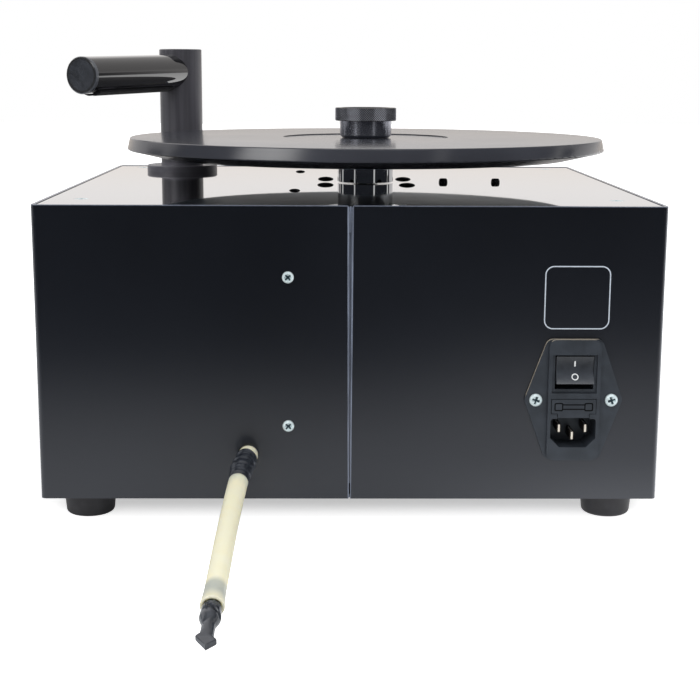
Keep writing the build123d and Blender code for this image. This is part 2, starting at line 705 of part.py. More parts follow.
def hub_screw_places():
    angles = [math.radians(a) for a in (0, 120, 240)]
    return [(HUB_SCREW_CIRCLE_R * math.cos(a), HUB_SCREW_CIRCLE_R * math.sin(a)) for a in angles]


def platter_screws():
    screw = Rot(180, 0, 0) * pan_screw(TERMINAL_HEAD_R, TERMINAL_HEAD_H, M3_R, HUB_FLANGE_T + HUB_SCREW_IN)
    return [Pos(PLATTER_X + x, PLATTER_Y + y, Z_TIER) * screw for x, y in hub_screw_places()]


def spindle():
    foot = Z_TIER + HUB_FLANGE_T - SPINDLE_DEPTH
    top = Z_RECORD + SPINDLE_TOP
    pin = turned((0, foot), (SPINDLE_R, foot), (SPINDLE_R, top - 1.5), (SPINDLE_R - 1.5, top), (0, top))
    return Pos(PLATTER_X, PLATTER_Y, 0) * pin


def platter():
    rim_foot = Z_RECORD - RIM_H
    rim_r = PLATTER_R + PLATTER_FLARE
    profile = Polygon(
        (0, Z_TIER),
        (TIER_R, Z_TIER),
        (rim_r, rim_foot),
        (PLATTER_R, Z_RECORD),
        (0, Z_RECORD),
        align=None,
    )
    rim_corners = profile.vertices().sort_by(Axis.X)[-2:]
    disc = revolve(Plane.XZ * fillet(rim_corners, RIM_EDGE_R), Axis.Z)
    disc -= upright(LABEL_R, Z_RECORD - LABEL_DEPTH, Z_RECORD)
    disc -= upright(HUB_FLANGE_R + LOOSE, Z_TIER, Z_TIER + HUB_FLANGE_T)
    disc -= upright(SPINDLE_R + LOOSE / 2, Z_TIER, Z_RECORD)
    for x, y in hub_screw_places():
        disc -= upright(M3_R + LOOSE, Z_TIER, Z_TIER + HUB_FLANGE_T + HUB_SCREW_HOLE, x, y)
    return Pos(PLATTER_X, PLATTER_Y, 0) * disc


# ------------------------------------------------------------------ record clamp
def clamp_levels():
    """Underside of the foot, joint between foot and knob, top of the knob."""
    foot = Z_RECORD - LABEL_DEPTH + REST_GAP
    joint = foot + CLAMP_FOOT_H
    return foot, joint, joint + REST_GAP + CLAMP_KNOB_H


def clamp_foot():
    z0, z1, _ = clamp_levels()
    c = CLAMP_CHAMFER
    foot = turned((0, z0), (CLAMP_FOOT_R - c, z0), (CLAMP_FOOT_R, z0 + c), (CLAMP_FOOT_R, z1), (0, z1))
    foot -= upright(SPINDLE_R + FIT, z0, z1)
    foot -= upright(CLAMP_SPIGOT_R + SIDE_GAP, z1 - CLAMP_SPIGOT_H - REST_GAP, z1)
    return Pos(PLATTER_X, PLATTER_Y, 0) * foot


def clamp_knob():
    _, joint, z1 = clamp_levels()
    z0 = joint + REST_GAP
    r = CLAMP_KNOB_R
    c = CLAMP_CHAMFER / 2
    knob = turned((0, z0), (r - c, z0), (r, z0 + c), (r, z1 - c), (r - c, z1), (0, z1))
    knob += upright(CLAMP_SPIGOT_R, z0 - CLAMP_SPIGOT_H, z0)
    knob -= upright(SPINDLE_R + FIT, z0 - CLAMP_SPIGOT_H, Z_RECORD + SPINDLE_TOP + REST_GAP)
    return Pos(PLATTER_X, PLATTER_Y, 0) * knob


# ------------------------------------------------------------------ column and arm
def on_column(shape):
    return Pos(COLUMN_X, COLUMN_Y, 0) * shape


def on_arm(shape):
    """Place a shape whose +Z runs out along the arm and whose -Y faces down."""
    turn = Rot(0, 0, -ARM_ANGLE) * Rot(90 + ARM_DROOP, 0, 0)
    return Pos(COLUMN_X, COLUMN_Y, Z_ARM) * turn * shape


def column_collar():
    collar = turned(
        (BUSH_R + FIT, Z_BUSH_FOOT),
        (COLLAR_SPIGOT_R, Z_BUSH_FOOT),
        (COLLAR_SPIGOT_R, Z_PLATE),
        (COLLAR_R, Z_PLATE),
        (COLLAR_R, Z_COLLAR - 0.6),
        (COLLAR_R - 0.6, Z_COLLAR),
        (BUSH_LIP_R + SIDE_GAP, Z_COLLAR),
        (BUSH_LIP_R + SIDE_GAP, Z_COLLAR - BUSH_LIP_H - REST_GAP),
        (BUSH_R + FIT, Z_COLLAR - BUSH_LIP_H - REST_GAP),
    )
    return on_column(collar)


def swivel_bush():
    bore = COLUMN_R + FIT
    bush = turned(
        (bore, Z_BUSH_FOOT),
        (BUSH_R, Z_BUSH_FOOT),
        (BUSH_R, Z_COLLAR - BUSH_LIP_H),
        (BUSH_LIP_R, Z_COLLAR - BUSH_LIP_H),
        (BUSH_LIP_R, Z_COLLAR),
        (bore, Z_COLLAR),
    )
    return on_column(bush)


def column_tube():
    top = Z_COLUMN_TOP - COLUMN_CAP_T
    tube = upright(COLUMN_R, Z_COLUMN_FOOT, top) + upright(STOP_R, Z_COLUMN_FOOT, Z_COLUMN_FOOT + STOP_H)
    tube -= upright(COLUMN_R - COLUMN_WALL, Z_COLUMN_FOOT, top)
    return on_column(tube) - on_arm(Pos(0, 0, COLUMN_R) * Cylinder(ARM_R - ARM_WALL, 2 * COLUMN_R))


def column_cap():
    plug_r = COLUMN_R - COLUMN_WALL - LOOSE / 2
    under = Z_COLUMN_TOP - COLUMN_CAP_T
    cap = turned(
        (0, under - 2.0),
        (plug_r, under - 2.0),
        (plug_r, under),
        (COLUMN_R, under),
        (COLUMN_R, Z_COLUMN_TOP - 0.5),
        (COLUMN_R - 0.5, Z_COLUMN_TOP),
        (0, Z_COLUMN_TOP),
    )
    return on_column(cap)


def arm_tube():
    length = ARM_REACH - ARM_CAP_T
    tube = Pos(0, 0, length / 2) * (Cylinder(ARM_R, length) - Cylinder(ARM_R - ARM_WALL, length))
    slot_l = SLOT_END - SLOT_START
    tube -= Pos(0, -ARM_R, SLOT_START + slot_l / 2) * Box(SLOT_W, 2 * ARM_R, slot_l)
    return on_arm(tube) - upright(COLUMN_R, Z_ARM - 2 * ARM_R, Z_ARM + 2 * ARM_R, COLUMN_X, COLUMN_Y)


def arm_end_cap():
    r = ARM_R
    plug_r = ARM_R - ARM_WALL - LOOSE / 2
    z0 = ARM_REACH - ARM_CAP_T
    cap = turned(
        (0, z0 - CAP_PLUG_L), (plug_r, z0 - CAP_PLUG_L), (plug_r, z0), (r, z0), (r, ARM_REACH - 0.6),
        (r - 0.6, ARM_REACH), (0, ARM_REACH)
    )
    return on_arm(cap)


def velvet_strips():
    """Pile lips on both sides of the slot, wrapped round the arm's underside."""
    strips = []
    for side in (-1, 1):
        start = -90 + side * (STRIP_IN + STRIP_OUT) / 2
        sector = revolve(
            Plane.XZ * Pos(ARM_R + STRIP_PILE / 2, 0) * Rectangle(STRIP_PILE, SLOT_END - SLOT_START),
            Axis.Z,
            revolution_arc=STRIP_OUT - STRIP_IN,
        )
        turn = Rot(0, 0, start - (STRIP_OUT - STRIP_IN) / 2)
        strips.append(on_arm(Pos(0, 0, (SLOT_START + SLOT_END) / 2) * turn * sector))
    return strips


def column_well():
    """Deep cup screwed onto the collar's spigot from below, with a suction nipple."""
    floor = Z_WELL - WELL_FLOOR_T
    well = upright(WELL_R, floor, Z_UNDER) + upright(WELL_RIM_R, Z_UNDER - WELL_RIM_T, Z_UNDER)
    well -= upright(COLLAR_SPIGOT_R + LOOSE, Z_WELL, Z_UNDER)
    well = on_column(well)
    bore_end = COLUMN_Y - COLLAR_SPIGOT_R
    nipple_end = COLUMN_Y - WELL_R - NIPPLE_L
    outer = lengthwise(SUCTION_R + NIPPLE_WALL, nipple_end, COLUMN_Y - 1, COLUMN_X, Z_SUCTION)
    outer -= upright(COLLAR_SPIGOT_R + LOOSE, Z_WELL, Z_UNDER, COLUMN_X, COLUMN_Y)
    return well + outer - lengthwise(SUCTION_R, nipple_end, bore_end + WELL_BORE_IN, COLUMN_X, Z_SUCTION)


def lift_spring():
    height = Z_COLUMN_FOOT - Z_WELL - 2 * SPRING_WIRE_R - 2 * REST_GAP
    path = Helix(pitch=height / SPRING_TURNS, height=height, radius=SPRING_R)
    section = Plane(origin=path @ 0, z_dir=path % 0) * Circle(SPRING_WIRE_R)
    coil = sweep(section, path=path)
    return Pos(COLUMN_X, COLUMN_Y, Z_WELL + SPRING_WIRE_R + REST_GAP) * coil


# ------------------------------------------------------------------ suction side
def suction_sleeve():
    """Rubber sleeve over the well's nipple and the tank's inlet nipple."""
    inner = SUCTION_R + NIPPLE_WALL + LOOSE
    y0 = TANK_Y1 + 1.0
    y1 = COLUMN_Y - WELL_R - 1.0
    sleeve = lengthwise(inner + TUBE_WALL, y0, y1, COLUMN_X, Z_SUCTION)
    return sleeve - lengthwise(inner, y0, y1, COLUMN_X, Z_SUCTION)


def tank():
    """Open box with a raised floor, so that it drains at its rear nipple."""
    floor_z = Z_BASE + TANK_FLOOR
    box = block(TANK_X0, TANK_X1, TANK_Y0, TANK_Y1, Z_BASE, Z_TANK)
    w = TANK_WALL
    box -= block(TANK_X0 + w, TANK_X1 - w, TANK_Y0 + w, TANK_Y1 - w, floor_z + w, Z_TANK)
    box -= block(TANK_X0 + w, TANK_X1 - w, TANK_Y0 + w, TANK_Y1 - w, Z_BASE, floor_z)
    box += lengthwise(SUCTION_R + NIPPLE_WALL, TANK_Y1 - w, TANK_Y1 + NIPPLE_L, COLUMN_X, Z_SUCTION)
    box -= lengthwise(SUCTION_R, TANK_Y1 - 2 * w, TANK_Y1 + NIPPLE_L, COLUMN_X, Z_SUCTION)
    box += crosswise(DUCT_R + NIPPLE_WALL, TANK_X1 - w, TANK_X1 + NIPPLE_L, FAN_Y, Z_FAN)
    box -= crosswise(DUCT_R, TANK_X1 - 2 * w, TANK_X1 + NIPPLE_L, FAN_Y, Z_FAN)
    drain = Vector(*STUB_ROUTE[0])
    return box - lengthwise(STUB_R - HOSE_WALL, TANK_Y0 - 1, TANK_Y0 + 2 * w, drain.X, drain.Z)


def tank_lid():
    w = TANK_WALL + LOOSE
    lid = block(TANK_X0, TANK_X1, TANK_Y0, TANK_Y1, Z_TANK, Z_TANK + LID_T)
    lid += block(TANK_X0 + w, TANK_X1 - w, TANK_Y0 + w, TANK_Y1 - w, Z_TANK - LID_LIP, Z_TANK)
    inset = w + TANK_WALL
    return lid - block(
        TANK_X0 + inset, TANK_X1 - inset, TANK_Y0 + inset, TANK_Y1 - inset, Z_TANK - LID_LIP, Z_TANK
    )


def tank_bracket():
    """Angle that ties the tank's side to the rear panel."""
    inside = REAR + WALL
    z0 = BRACKET_Z0 - BRACKET_MARGIN
    z1 = BRACKET_Z0 + BRACKET_PITCH + BRACKET_MARGIN
    leg = block(TANK_X1, TANK_X1 + BRACKET_T, inside, inside + BRACKET_ARM, z0, z1)
    flange_x1 = BRACKET_X + BRACKET_W / 2
    angle = leg + block(TANK_X1, flange_x1, inside, inside + BRACKET_T, z0, z1)
    for z in bracket_heights():
        angle -= lengthwise(M3_R + LOOSE, inside, inside + BRACKET_T, BRACKET_X, z)
    return angle


def bracket_screws():
    screw = Rot(90, 0, 0) * pan_screw(ZINC_HEAD_R, ZINC_HEAD_H, M3_R, WALL + BRACKET_T + 4.0)
    return [Pos(BRACKET_X, REAR, z) * screw for z in bracket_heights()]


def air_duct():
    inner = DUCT_R + NIPPLE_WALL + LOOSE
    x0 = TANK_X1 + 1.0
    x1 = FAN_X0 - 1.0
    duct = crosswise(inner + TUBE_WALL, x0, x1, FAN_Y, Z_FAN)
    return duct - crosswise(inner, x0, x1, FAN_Y, Z_FAN)


def fan_cover():
    cover = crosswise(FAN_R, FAN_X0, FAN_X0 + FAN_WALL, FAN_Y, Z_FAN)
    cover += crosswise(DUCT_R + NIPPLE_WALL, FAN_X0 - NIPPLE_L, FAN_X0, FAN_Y, Z_FAN)
    return cover - crosswise(DUCT_R, FAN_X0 - NIPPLE_L, FAN_X0 + FAN_WALL, FAN_Y, Z_FAN)


def fan_housing():
    """Cup behind the cover, with exhaust holes round its rear wall."""
    x0 = FAN_X0 + FAN_WALL
    x1 = FAN_X0 + FAN_L
    cup = crosswise(FAN_R, x0, x1, FAN_Y, Z_FAN) - crosswise(FAN_R - FAN_WALL, x0, x1 - FAN_WALL, FAN_Y, Z_FAN)
    cup -= crosswise(FAN_SHAFT_R + FIT, x1 - FAN_WALL, x1, FAN_Y, Z_FAN)
    ring_r = (FAN_MOTOR_R + FAN_R - FAN_WALL) / 2
    for i in range(EXHAUST_HOLES):
        angle = 2 * math.pi * i / EXHAUST_HOLES
        y = FAN_Y + ring_r * math.cos(angle)
        cup -= crosswise(EXHAUST_R, x1 - FAN_WALL, x1, y, Z_FAN + ring_r * math.sin(angle))
    return cup


def fan_impeller():
    """Back disc, front ring, swept blades and shaft in one spinning piece."""
    x0 = FAN_X0 + FAN_WALL + FAN_CLEAR
    x1 = FAN_X0 + FAN_L - FAN_WALL - FAN_CLEAR
    width = x1 - x0
    back = Pos(0, 0, width - IMPELLER_DISC_T / 2) * Cylinder(IMPELLER_R, IMPELLER_DISC_T)
    front = Pos(0, 0, IMPELLER_DISC_T / 2) * (
        Cylinder(IMPELLER_R, IMPELLER_DISC_T) - Cylinder(IMPELLER_EYE_R, IMPELLER_DISC_T)
    )
    wheel = back + front
    blade_l = IMPELLER_R - IMPELLER_EYE_R - 4
    blade = Pos(IMPELLER_EYE_R + 2, 0, 0) * Rot(0, 0, BLADE_SWEEP) * Pos(blade_l / 2, 0, width / 2)
    blade = blade * Box(blade_l, BLADE_T, width)
    for i in range(BLADES):
        wheel += Rot(0, 0, 360 * i / BLADES) * blade
    wheel += Pos(0, 0, width / 2) * Cylinder(2 * FAN_SHAFT_R, width)
    shaft_l = FAN_L + FAN_MOTOR_L / 2
    wheel += Pos(0, 0, shaft_l / 2) * Cylinder(FAN_SHAFT_R, shaft_l)
    return Pos(x0, FAN_Y, Z_FAN) * Rot(0, 90, 0) * wheel


def fan_motor():
    x0 = FAN_X0 + FAN_L
    can = crosswise(FAN_MOTOR_R, x0, x0 + FAN_MOTOR_L, FAN_Y, Z_FAN)
    can = chamfer(can.edges().filter_by(GeomType.CIRCLE).sort_by(Axis.X)[-1], 3.0)
    shaft_end = FAN_X0 + FAN_WALL + FAN_CLEAR + FAN_L + FAN_MOTOR_L / 2
    return can - crosswise(FAN_SHAFT_R + FIT, x0, shaft_end + REST_GAP, FAN_Y, Z_FAN)


def rubber_x():
    middle = FAN_X0 + FAN_L / 2
    return middle - RUBBER_W / 2, middle + RUBBER_W / 2


def fan_ring():
    x0, x1 = rubber_x()
    ring = crosswise(FAN_R + RUBBER_T, x0, x1, FAN_Y, Z_FAN)
    return ring - crosswise(FAN_R, x0, x1, FAN_Y, Z_FAN)


def fan_cradle():
    """Saddle on the base plate that carries the rubber ring."""
    middle = FAN_X0 + FAN_L / 2
    x0 = middle - CRADLE_W / 2
    x1 = middle + CRADLE_W / 2
    saddle = block(x0, x1, FAN_Y - CRADLE_HALF, FAN_Y + CRADLE_HALF, Z_BASE, Z_BASE + CRADLE_H)
    return saddle - crosswise(FAN_R + RUBBER_T, x0, x1, FAN_Y, Z_FAN)


# ------------------------------------------------------------------ drain
def sleeve_bend():
    """Bend of the sleeve: on the line of the hose's first run, before its start."""
    start, after = [Vector(*p) for p in HOSE_ROUTE[:2]]
    return start - unit(after - start) * SLEEVE_RUN


def sleeve_start():
    """Joint between stub and sleeve, half-way between the two bends."""
    return (Vector(*STUB_ROUTE[1]) + sleeve_bend()) * 0.5


def drain_stub():
    points = STUB_ROUTE + [tuple(sleeve_start())]
    return tube_along(points, STUB_R, STUB_R - HOSE_WALL)[0]


def hose_sleeve():
    points = [tuple(sleeve_start()), tuple(sleeve_bend()), HOSE_ROUTE[0]]
    return tube_along(points, SLEEVE_R, SLEEVE_R - 2 * HOSE_WALL)[0]


def drain_hose():
    tube, radii, length = tube_along(HOSE_ROUTE, HOSE_R, HOSE_R - HOSE_WALL)
    section = math.pi * (HOSE_R**2 - (HOSE_R - HOSE_WALL) ** 2)
    print("hose length", round(length, 1), "radii", [round(r) for r in radii])
    print("hose volume against section x length", round(tube.volume / (section * length), 4))
    return tube


def drain_plug():
    """Stopper: shank in the hose, swelling head, neck and a flat tail that ends in a corner."""
    before, end = [Vector(*p) for p in HOSE_ROUTE[-2:]]
    shank_r = HOSE_R - HOSE_WALL - LOOSE
    angle = math.radians(PLUG_TAIL_TURN)
    reach = (PLUG_TAIL_L * math.sin(angle) + PLUG_TAIL_W * math.cos(angle)) / 2
    neck_end = PLUG_L - reach
    plug = turned(
        (0, -PLUG_SHANK),
        (shank_r - 0.6, -PLUG_SHANK),
        (shank_r, -PLUG_SHANK + 1.5),
        (shank_r, 0),
        (PLUG_HEAD_R, 0),
        (PLUG_BULGE_R, 0.7 * PLUG_HEAD_L),
        (PLUG_BULGE_R, 0.9 * PLUG_HEAD_L),
        (PLUG_NECK_R, 1.4 * PLUG_HEAD_L),
        (PLUG_NECK_R, neck_end - 2),
        (PLUG_TAIL_T / 2, neck_end),
        (0, neck_end),
    )
    tail = Pos(0, 0, neck_end) * Rot(90, 0, 0) * Rot(0, 0, PLUG_TAIL_TURN)
    plug += tail * Box(PLUG_TAIL_L, PLUG_TAIL_W, PLUG_TAIL_T)
    return Plane(origin=end, x_dir=(1, 0, 0), z_dir=end - before) * plug


# ------------------------------------------------------------------ mains inlet
def facing_rear(sketch, y, depth):
    """Push a sketch drawn in (x, z) from the plane y into the case by depth."""
    return extrude(Plane(origin=(0, y, 0), x_dir=(1, 0, 0), z_dir=(0, -1, 0)) * sketch, -depth)


def inlet_flange():
    half = INLET_H / 2
    end = INLET_END_W / 2
    waist = INLET_WAIST / 2
    outline = Polygon((-end, -half), (end, -half), (waist, 0), (end, half), (-end, half), (-waist, 0), align=None)
    outline = fillet(outline.vertices(), INLET_BLOCK_R)
    return facing_rear(Pos(INLET_X, INLET_Z) * outline, REAR - INLET_FLANGE_T, INLET_FLANGE_T)


def inlet_housing():
    body_half = INLET_BLOCK_W / 2
    housing = inlet_flange()
    face = Pos(INLET_X, INLET_Z) * RectangleRounded(INLET_BLOCK_W, INLET_H, INLET_BLOCK_R)
    housing += facing_rear(face, BLOCK_FACE, INLET_BLOCK_OUT)
    z0 = INLET_Z - INLET_BODY_H / 2
    z1 = INLET_Z + INLET_BODY_H / 2
    housing += block(INLET_X - body_half, INLET_X + body_half, REAR, REAR + INLET_BODY_DEPTH, z0, z1)
    bezel = block(
        INLET_X - SWITCH_BEZEL_W / 2,
        INLET_X + SWITCH_BEZEL_W / 2,
        BLOCK_FACE,
        BLOCK_FACE + SWITCH_BEZEL_DEPTH,
        SWITCH_BEZEL_Z0,
        SWITCH_BEZEL_Z1,
    )
    half_w = ROCKER_W / 2 + SIDE_GAP + LOOSE
    rocker_hole = block(
        INLET_X - half_w,
        INLET_X + half_w,
        BLOCK_FACE,
        ROCKER_Y + ROCKER_END,
        ROCKER_Z - ROCKER_HOLE_HALF,
        ROCKER_Z + ROCKER_HOLE_HALF,
    )
    pin_reach = ROCKER_W / 2 + ROCKER_PIN_L + REST_GAP
    pockets = crosswise(ROCKER_PIN_R + FIT, INLET_X - pin_reach, INLET_X + pin_reach, ROCKER_Y, ROCKER_Z)
    housing = housing - bezel - rocker_hole - pockets - drawer_slot() - socket_room()
    for x, z in pin_places():
        housing -= pin_blade(x, z, LOOSE / 2)
    for side in (-1, 1):
        x = INLET_X + side * INLET_SCREW_PITCH / 2
        housing -= lengthwise(M3_R + LOOSE, REAR - INLET_FLANGE_T, REAR, x, INLET_Z)
    return housing


def drawer_slot():
    half = DRAWER_W / 2
    slot = block(
        INLET_X - half, INLET_X + half, BLOCK_FACE, BLOCK_FACE + DRAWER_DEPTH, DRAWER_Z0, DRAWER_Z1
    )
    tab = DRAWER_TAB_W / 2 + SIDE_GAP
    depth = DRAWER_TAB_T + SIDE_GAP
    return slot + block(INLET_X - tab, INLET_X + tab, BLOCK_FACE, BLOCK_FACE + depth, SOCKET_Z1, DRAWER_Z0)


def socket_room():
    """Room of the socket: a rectangle with two cut lower corners."""
    middle = (SOCKET_Z0 + SOCKET_Z1) / 2
    outline = Rectangle(SOCKET_W, SOCKET_Z1 - SOCKET_Z0)
    outline = chamfer(outline.vertices().sort_by(Axis.Y)[:2], SOCKET_CHAMFER)
    outline = fillet(outline.vertices().sort_by(Axis.Y)[-2:], SOCKET_TOP_R)
    return facing_rear(Pos(INLET_X, middle) * outline, BLOCK_FACE, SOCKET_DEPTH)


def pin_places():
    half = PIN_PITCH / 2
    return [(INLET_X - half, PIN_LINE_Z), (INLET_X + half, PIN_LINE_Z), (INLET_X, PIN_EARTH_Z)]


def pin_blade(x, z, grow=0.0):
    half_t = PIN_T / 2 + grow
    half_h = PIN_H / 2 + grow
    y0 = BLOCK_FACE + PIN_RECESS
    return block(x - half_t, x + half_t, y0, REAR + INLET_BODY_DEPTH + PIN_TAB, z - half_h, z + half_h)


def inlet_pins():
    return [pin_blade(x, z) for x, z in pin_places()]


def inlet_screws():
    screw = Rot(90, 0, 0) * pan_screw(INLET_HEAD_R, ZINC_HEAD_H, M3_R, INLET_FLANGE_T + WALL + 4.0)
    places = [INLET_X - INLET_SCREW_PITCH / 2, INLET_X + INLET_SCREW_PITCH / 2]
    return [Pos(x, REAR - INLET_FLANGE_T, INLET_Z) * screw for x in places]


def power_rocker():
    """Folded rocker on two side pins, with its upper half pressed in."""
    profile = Polygon(
        (-ROCKER_HALF, ROCKER_END),
        (0, ROCKER_MID),
        (ROCKER_HALF, ROCKER_END),
        (ROCKER_HALF, ROCKER_MID / 2),
        (ROCKER_HALF / 2, -2),
        (-ROCKER_HALF / 2, -2),
        (-ROCKER_HALF, ROCKER_MID / 2),
        align=None,
    )
    across = Plane(origin=(0, 0, 0), x_dir=(0, 0, 1), z_dir=(1, 0, 0))
    rocker = extrude(across * profile, ROCKER_W / 2, both=True)
    pin_l = ROCKER_W + 2 * ROCKER_PIN_L
    rocker += Rot(0, 90, 0) * Cylinder(ROCKER_PIN_R, pin_l)
    return Pos(INLET_X, ROCKER_Y, ROCKER_Z) * Rot(-ROCKER_TILT, 0, 0) * rocker


def drawer_fuse_y():
    return BLOCK_FACE + DRAWER_DEPTH / 2


def fuse_drawer():
    half = DRAWER_W / 2 - SIDE_GAP
    z0 = DRAWER_Z0 + SIDE_GAP
    z1 = DRAWER_Z1 - SIDE_GAP
    drawer = block(
        INLET_X - half, INLET_X + half, BLOCK_FACE - REST_GAP, BLOCK_FACE + DRAWER_DEPTH - 2, z0, z1
    )
    tab = DRAWER_TAB_W / 2
    drawer += block(
        INLET_X - tab, INLET_X + tab, BLOCK_FACE - REST_GAP, BLOCK_FACE + DRAWER_TAB_T, z0 - DRAWER_TAB_DROP, z0
    )
    room = FUSE_R + LOOSE
    middle = drawer_fuse_y()
    x = FUSE_L / 2 + LOOSE
    return drawer - block(INLET_X - x, INLET_X + x, middle - room, middle + room, z0 + 1.0, z1)


def fuse():
    z = DRAWER_Z0 + SIDE_GAP + 1.0 + LOOSE + FUSE_R
    return crosswise(FUSE_R, INLET_X - FUSE_L / 2, INLET_X + FUSE_L / 2, drawer_fuse_y(), z)


# ------------------------------------------------------------------ front toggle switches
def toggle_pivot_y():
    return FRONT + TOGGLE_BUSH_OUT - TOGGLE_PIVOT_IN


def toggle_lever(x, tilt):
    """Bat handle on a ball, tilted about X at the pivot."""
    length = TOGGLE_LEVER_L
    handle = turned((0, 0), (TOGGLE_STEM_R, 0), (TOGGLE_TIP_R, length - 1.5), (TOGGLE_TIP_R - 1, length), (0, length))
    lever = handle + Sphere(TOGGLE_BALL_R)
    return Pos(x, toggle_pivot_y(), TOGGLE_Z) * Rot(-90 + tilt, 0, 0) * lever


def direction_lever():
    return toggle_lever(DIRECTION_X, 0)


def pump_lever():
    return toggle_lever(PUMP_X, -TOGGLE_TILT)


def switch_bodies():
    half = TOGGLE_BODY / 2
    inside = FRONT - WALL
    end = FRONT + TOGGLE_BUSH_OUT
    bodies = []
    for x in (DIRECTION_X, PUMP_X):
        body = block(x - half, x + half, inside - TOGGLE_DEPTH, inside, TOGGLE_Z - half, TOGGLE_Z + half)
        body += lengthwise(TOGGLE_BUSH_R, inside, end, x, TOGGLE_Z)
        body -= lengthwise(TOGGLE_BORE_R, end - 2 * TOGGLE_PIVOT_IN, end, x, TOGGLE_Z)
        bodies.append(body)
    return bodies


def switch_nuts():
    nuts = []
    for x in (DIRECTION_X, PUMP_X):
        outline = RegularPolygon(NUT_R, 6) - Circle(TOGGLE_BUSH_R + LOOSE)
        nuts.append(Pos(x, FRONT, TOGGLE_Z) * Rot(-90, 0, 0) * extrude(outline, NUT_T))
    return nuts


# ------------------------------------------------------------------ assembly
PIECES = [
    case_wrap, seam_strip, top_plate, base_plate, corner_posts, corner_screws, feet, foot_screws,
    plate_rail, terminal_block, plate_screws,
    gearbox_housing, gearbox_cover, drive_gear, output_shaft, motor_pinion, platter_motor, motor_screws,
    platter_hub, spindle, platter, platter_screws, clamp_foot, clamp_knob,
    column_collar, swivel_bush, column_tube, column_cap, arm_tube, arm_end_cap, velvet_strips,
    column_well, lift_spring,
    suction_sleeve, tank, tank_lid, tank_bracket, bracket_screws, air_duct,
    fan_cover, fan_housing, fan_impeller, fan_motor, fan_ring, fan_cradle,
    inlet_housing, inlet_pins, inlet_screws, power_rocker, fuse_drawer, fuse,
    switch_bodies, switch_nuts, direction_lever, pump_lever,
]
DRAIN_PIECES = [drain_stub, hose_sleeve, drain_hose, drain_plug]


def as_compound(made):
    """One compound of the solids that a piece's function returns."""
    parts = made if isinstance(made, list) else [made]
    return Compound(children=[solid for part in parts for solid in part.solids()])


def build():
    """Make every piece and move them all, so that the machine's box is centred on X and Y."""
    machine = {make.__name__: as_compound(make()) for make in PIECES}
    boxes = [piece.bounding_box() for piece in machine.values()]
    middle_x = (min(box.min.X for box in boxes) + max(box.max.X for box in boxes)) / 2
    middle_y = (min(box.min.Y for box in boxes) + max(box.max.Y for box in boxes)) / 2
    machine.update({make.__name__: as_compound(make()) for make in DRAIN_PIECES})
    print("case middle is at", round(-middle_x, 4), round(-middle_y, 4))
    os.makedirs("parts", exist_ok=True)
    for name, piece in machine.items():
        export_step(Pos(-middle_x, -middle_y, 0) * piece, f"parts/{name}.step")


build()
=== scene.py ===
import json
import math

import bpy
import numpy as np
from bpy.props import FloatProperty, FloatVectorProperty, IntProperty, PointerProperty
from bpy.types import Operator, Panel, PropertyGroup
from mathutils import Matrix, Vector


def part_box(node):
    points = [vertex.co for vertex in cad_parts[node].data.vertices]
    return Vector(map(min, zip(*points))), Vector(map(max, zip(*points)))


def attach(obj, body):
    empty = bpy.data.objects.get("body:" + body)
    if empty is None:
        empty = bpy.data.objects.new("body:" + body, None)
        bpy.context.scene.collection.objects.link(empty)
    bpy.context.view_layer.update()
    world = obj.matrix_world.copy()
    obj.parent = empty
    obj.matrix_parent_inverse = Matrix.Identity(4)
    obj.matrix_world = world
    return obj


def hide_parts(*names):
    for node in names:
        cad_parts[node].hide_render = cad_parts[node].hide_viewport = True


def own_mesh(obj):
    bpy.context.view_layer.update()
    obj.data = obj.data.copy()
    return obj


bl_info = {
    "name": "Record cleaning machine",
    "version": (1, 0, 0),
    "blender": (4, 5, 0),
    "location": "View3D > Sidebar > Record Cleaner",
    "description": "Finishes and fine pieces for a vacuum record cleaning machine",
    "category": "Add Mesh",
}

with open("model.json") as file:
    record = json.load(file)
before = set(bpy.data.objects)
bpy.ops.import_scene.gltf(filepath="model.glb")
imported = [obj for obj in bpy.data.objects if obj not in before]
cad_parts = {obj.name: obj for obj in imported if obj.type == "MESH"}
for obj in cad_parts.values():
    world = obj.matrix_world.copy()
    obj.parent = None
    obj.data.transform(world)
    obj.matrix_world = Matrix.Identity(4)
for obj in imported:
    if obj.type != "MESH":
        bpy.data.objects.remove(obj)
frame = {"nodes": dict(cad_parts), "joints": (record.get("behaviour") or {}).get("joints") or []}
NODES = frame["nodes"]
JOINT = {joint["name"]: joint for joint in frame["joints"]}
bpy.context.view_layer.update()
MM = 0.001


def axis_of(node):
    """The upright line through the middle of a node's box, given by its point on the floor."""
    lo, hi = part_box(node)
    return Vector(((lo.x + hi.x) / 2, (lo.y + hi.y) / 2, 0.0))


CASE_LO, CASE_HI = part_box("case_wrap")
CASE_MIDDLE = axis_of("case_wrap")
PLATTER_AXIS = axis_of("platter")
COLUMN_AXIS = axis_of("column_collar")

# the bare stripe along the seam: half its width at the foot, and how much wider it grows upwards
SEAM_HALF = 0.85 * MM
SEAM_SPREAD = 0.0052

# The drain hose's route from the middle of the case, in millimetres, as the solids have it.
HOSE_ROUTE = [
    (-57.0, -196.3, 34.9), (-58.6, -226.2, 29.2), (-60.2, -264.6, 20.4), (-61.8, -303.0, 9.8),
]
STUB_END = (-54.0, -163.0, 38.8)
SLEEVE_RUN = 13.5


def from_case(point):
    """A point given in millimetres from the middle of the case, in the frame's metres."""
    return CASE_MIDDLE + Vector(point) * MM


# ------------------------------------------------------------------ settings
def size(name, text, default, low, high):
    """A length in metres."""
    return FloatProperty(
        name=name, description=text, default=default, min=low, max=high, unit="LENGTH", precision=5
    )


def tint(name, text, default):
    """A scene-linear colour."""
    return FloatVectorProperty(
        name=name, description=text, default=default, min=0, max=1, subtype="COLOR"
    )


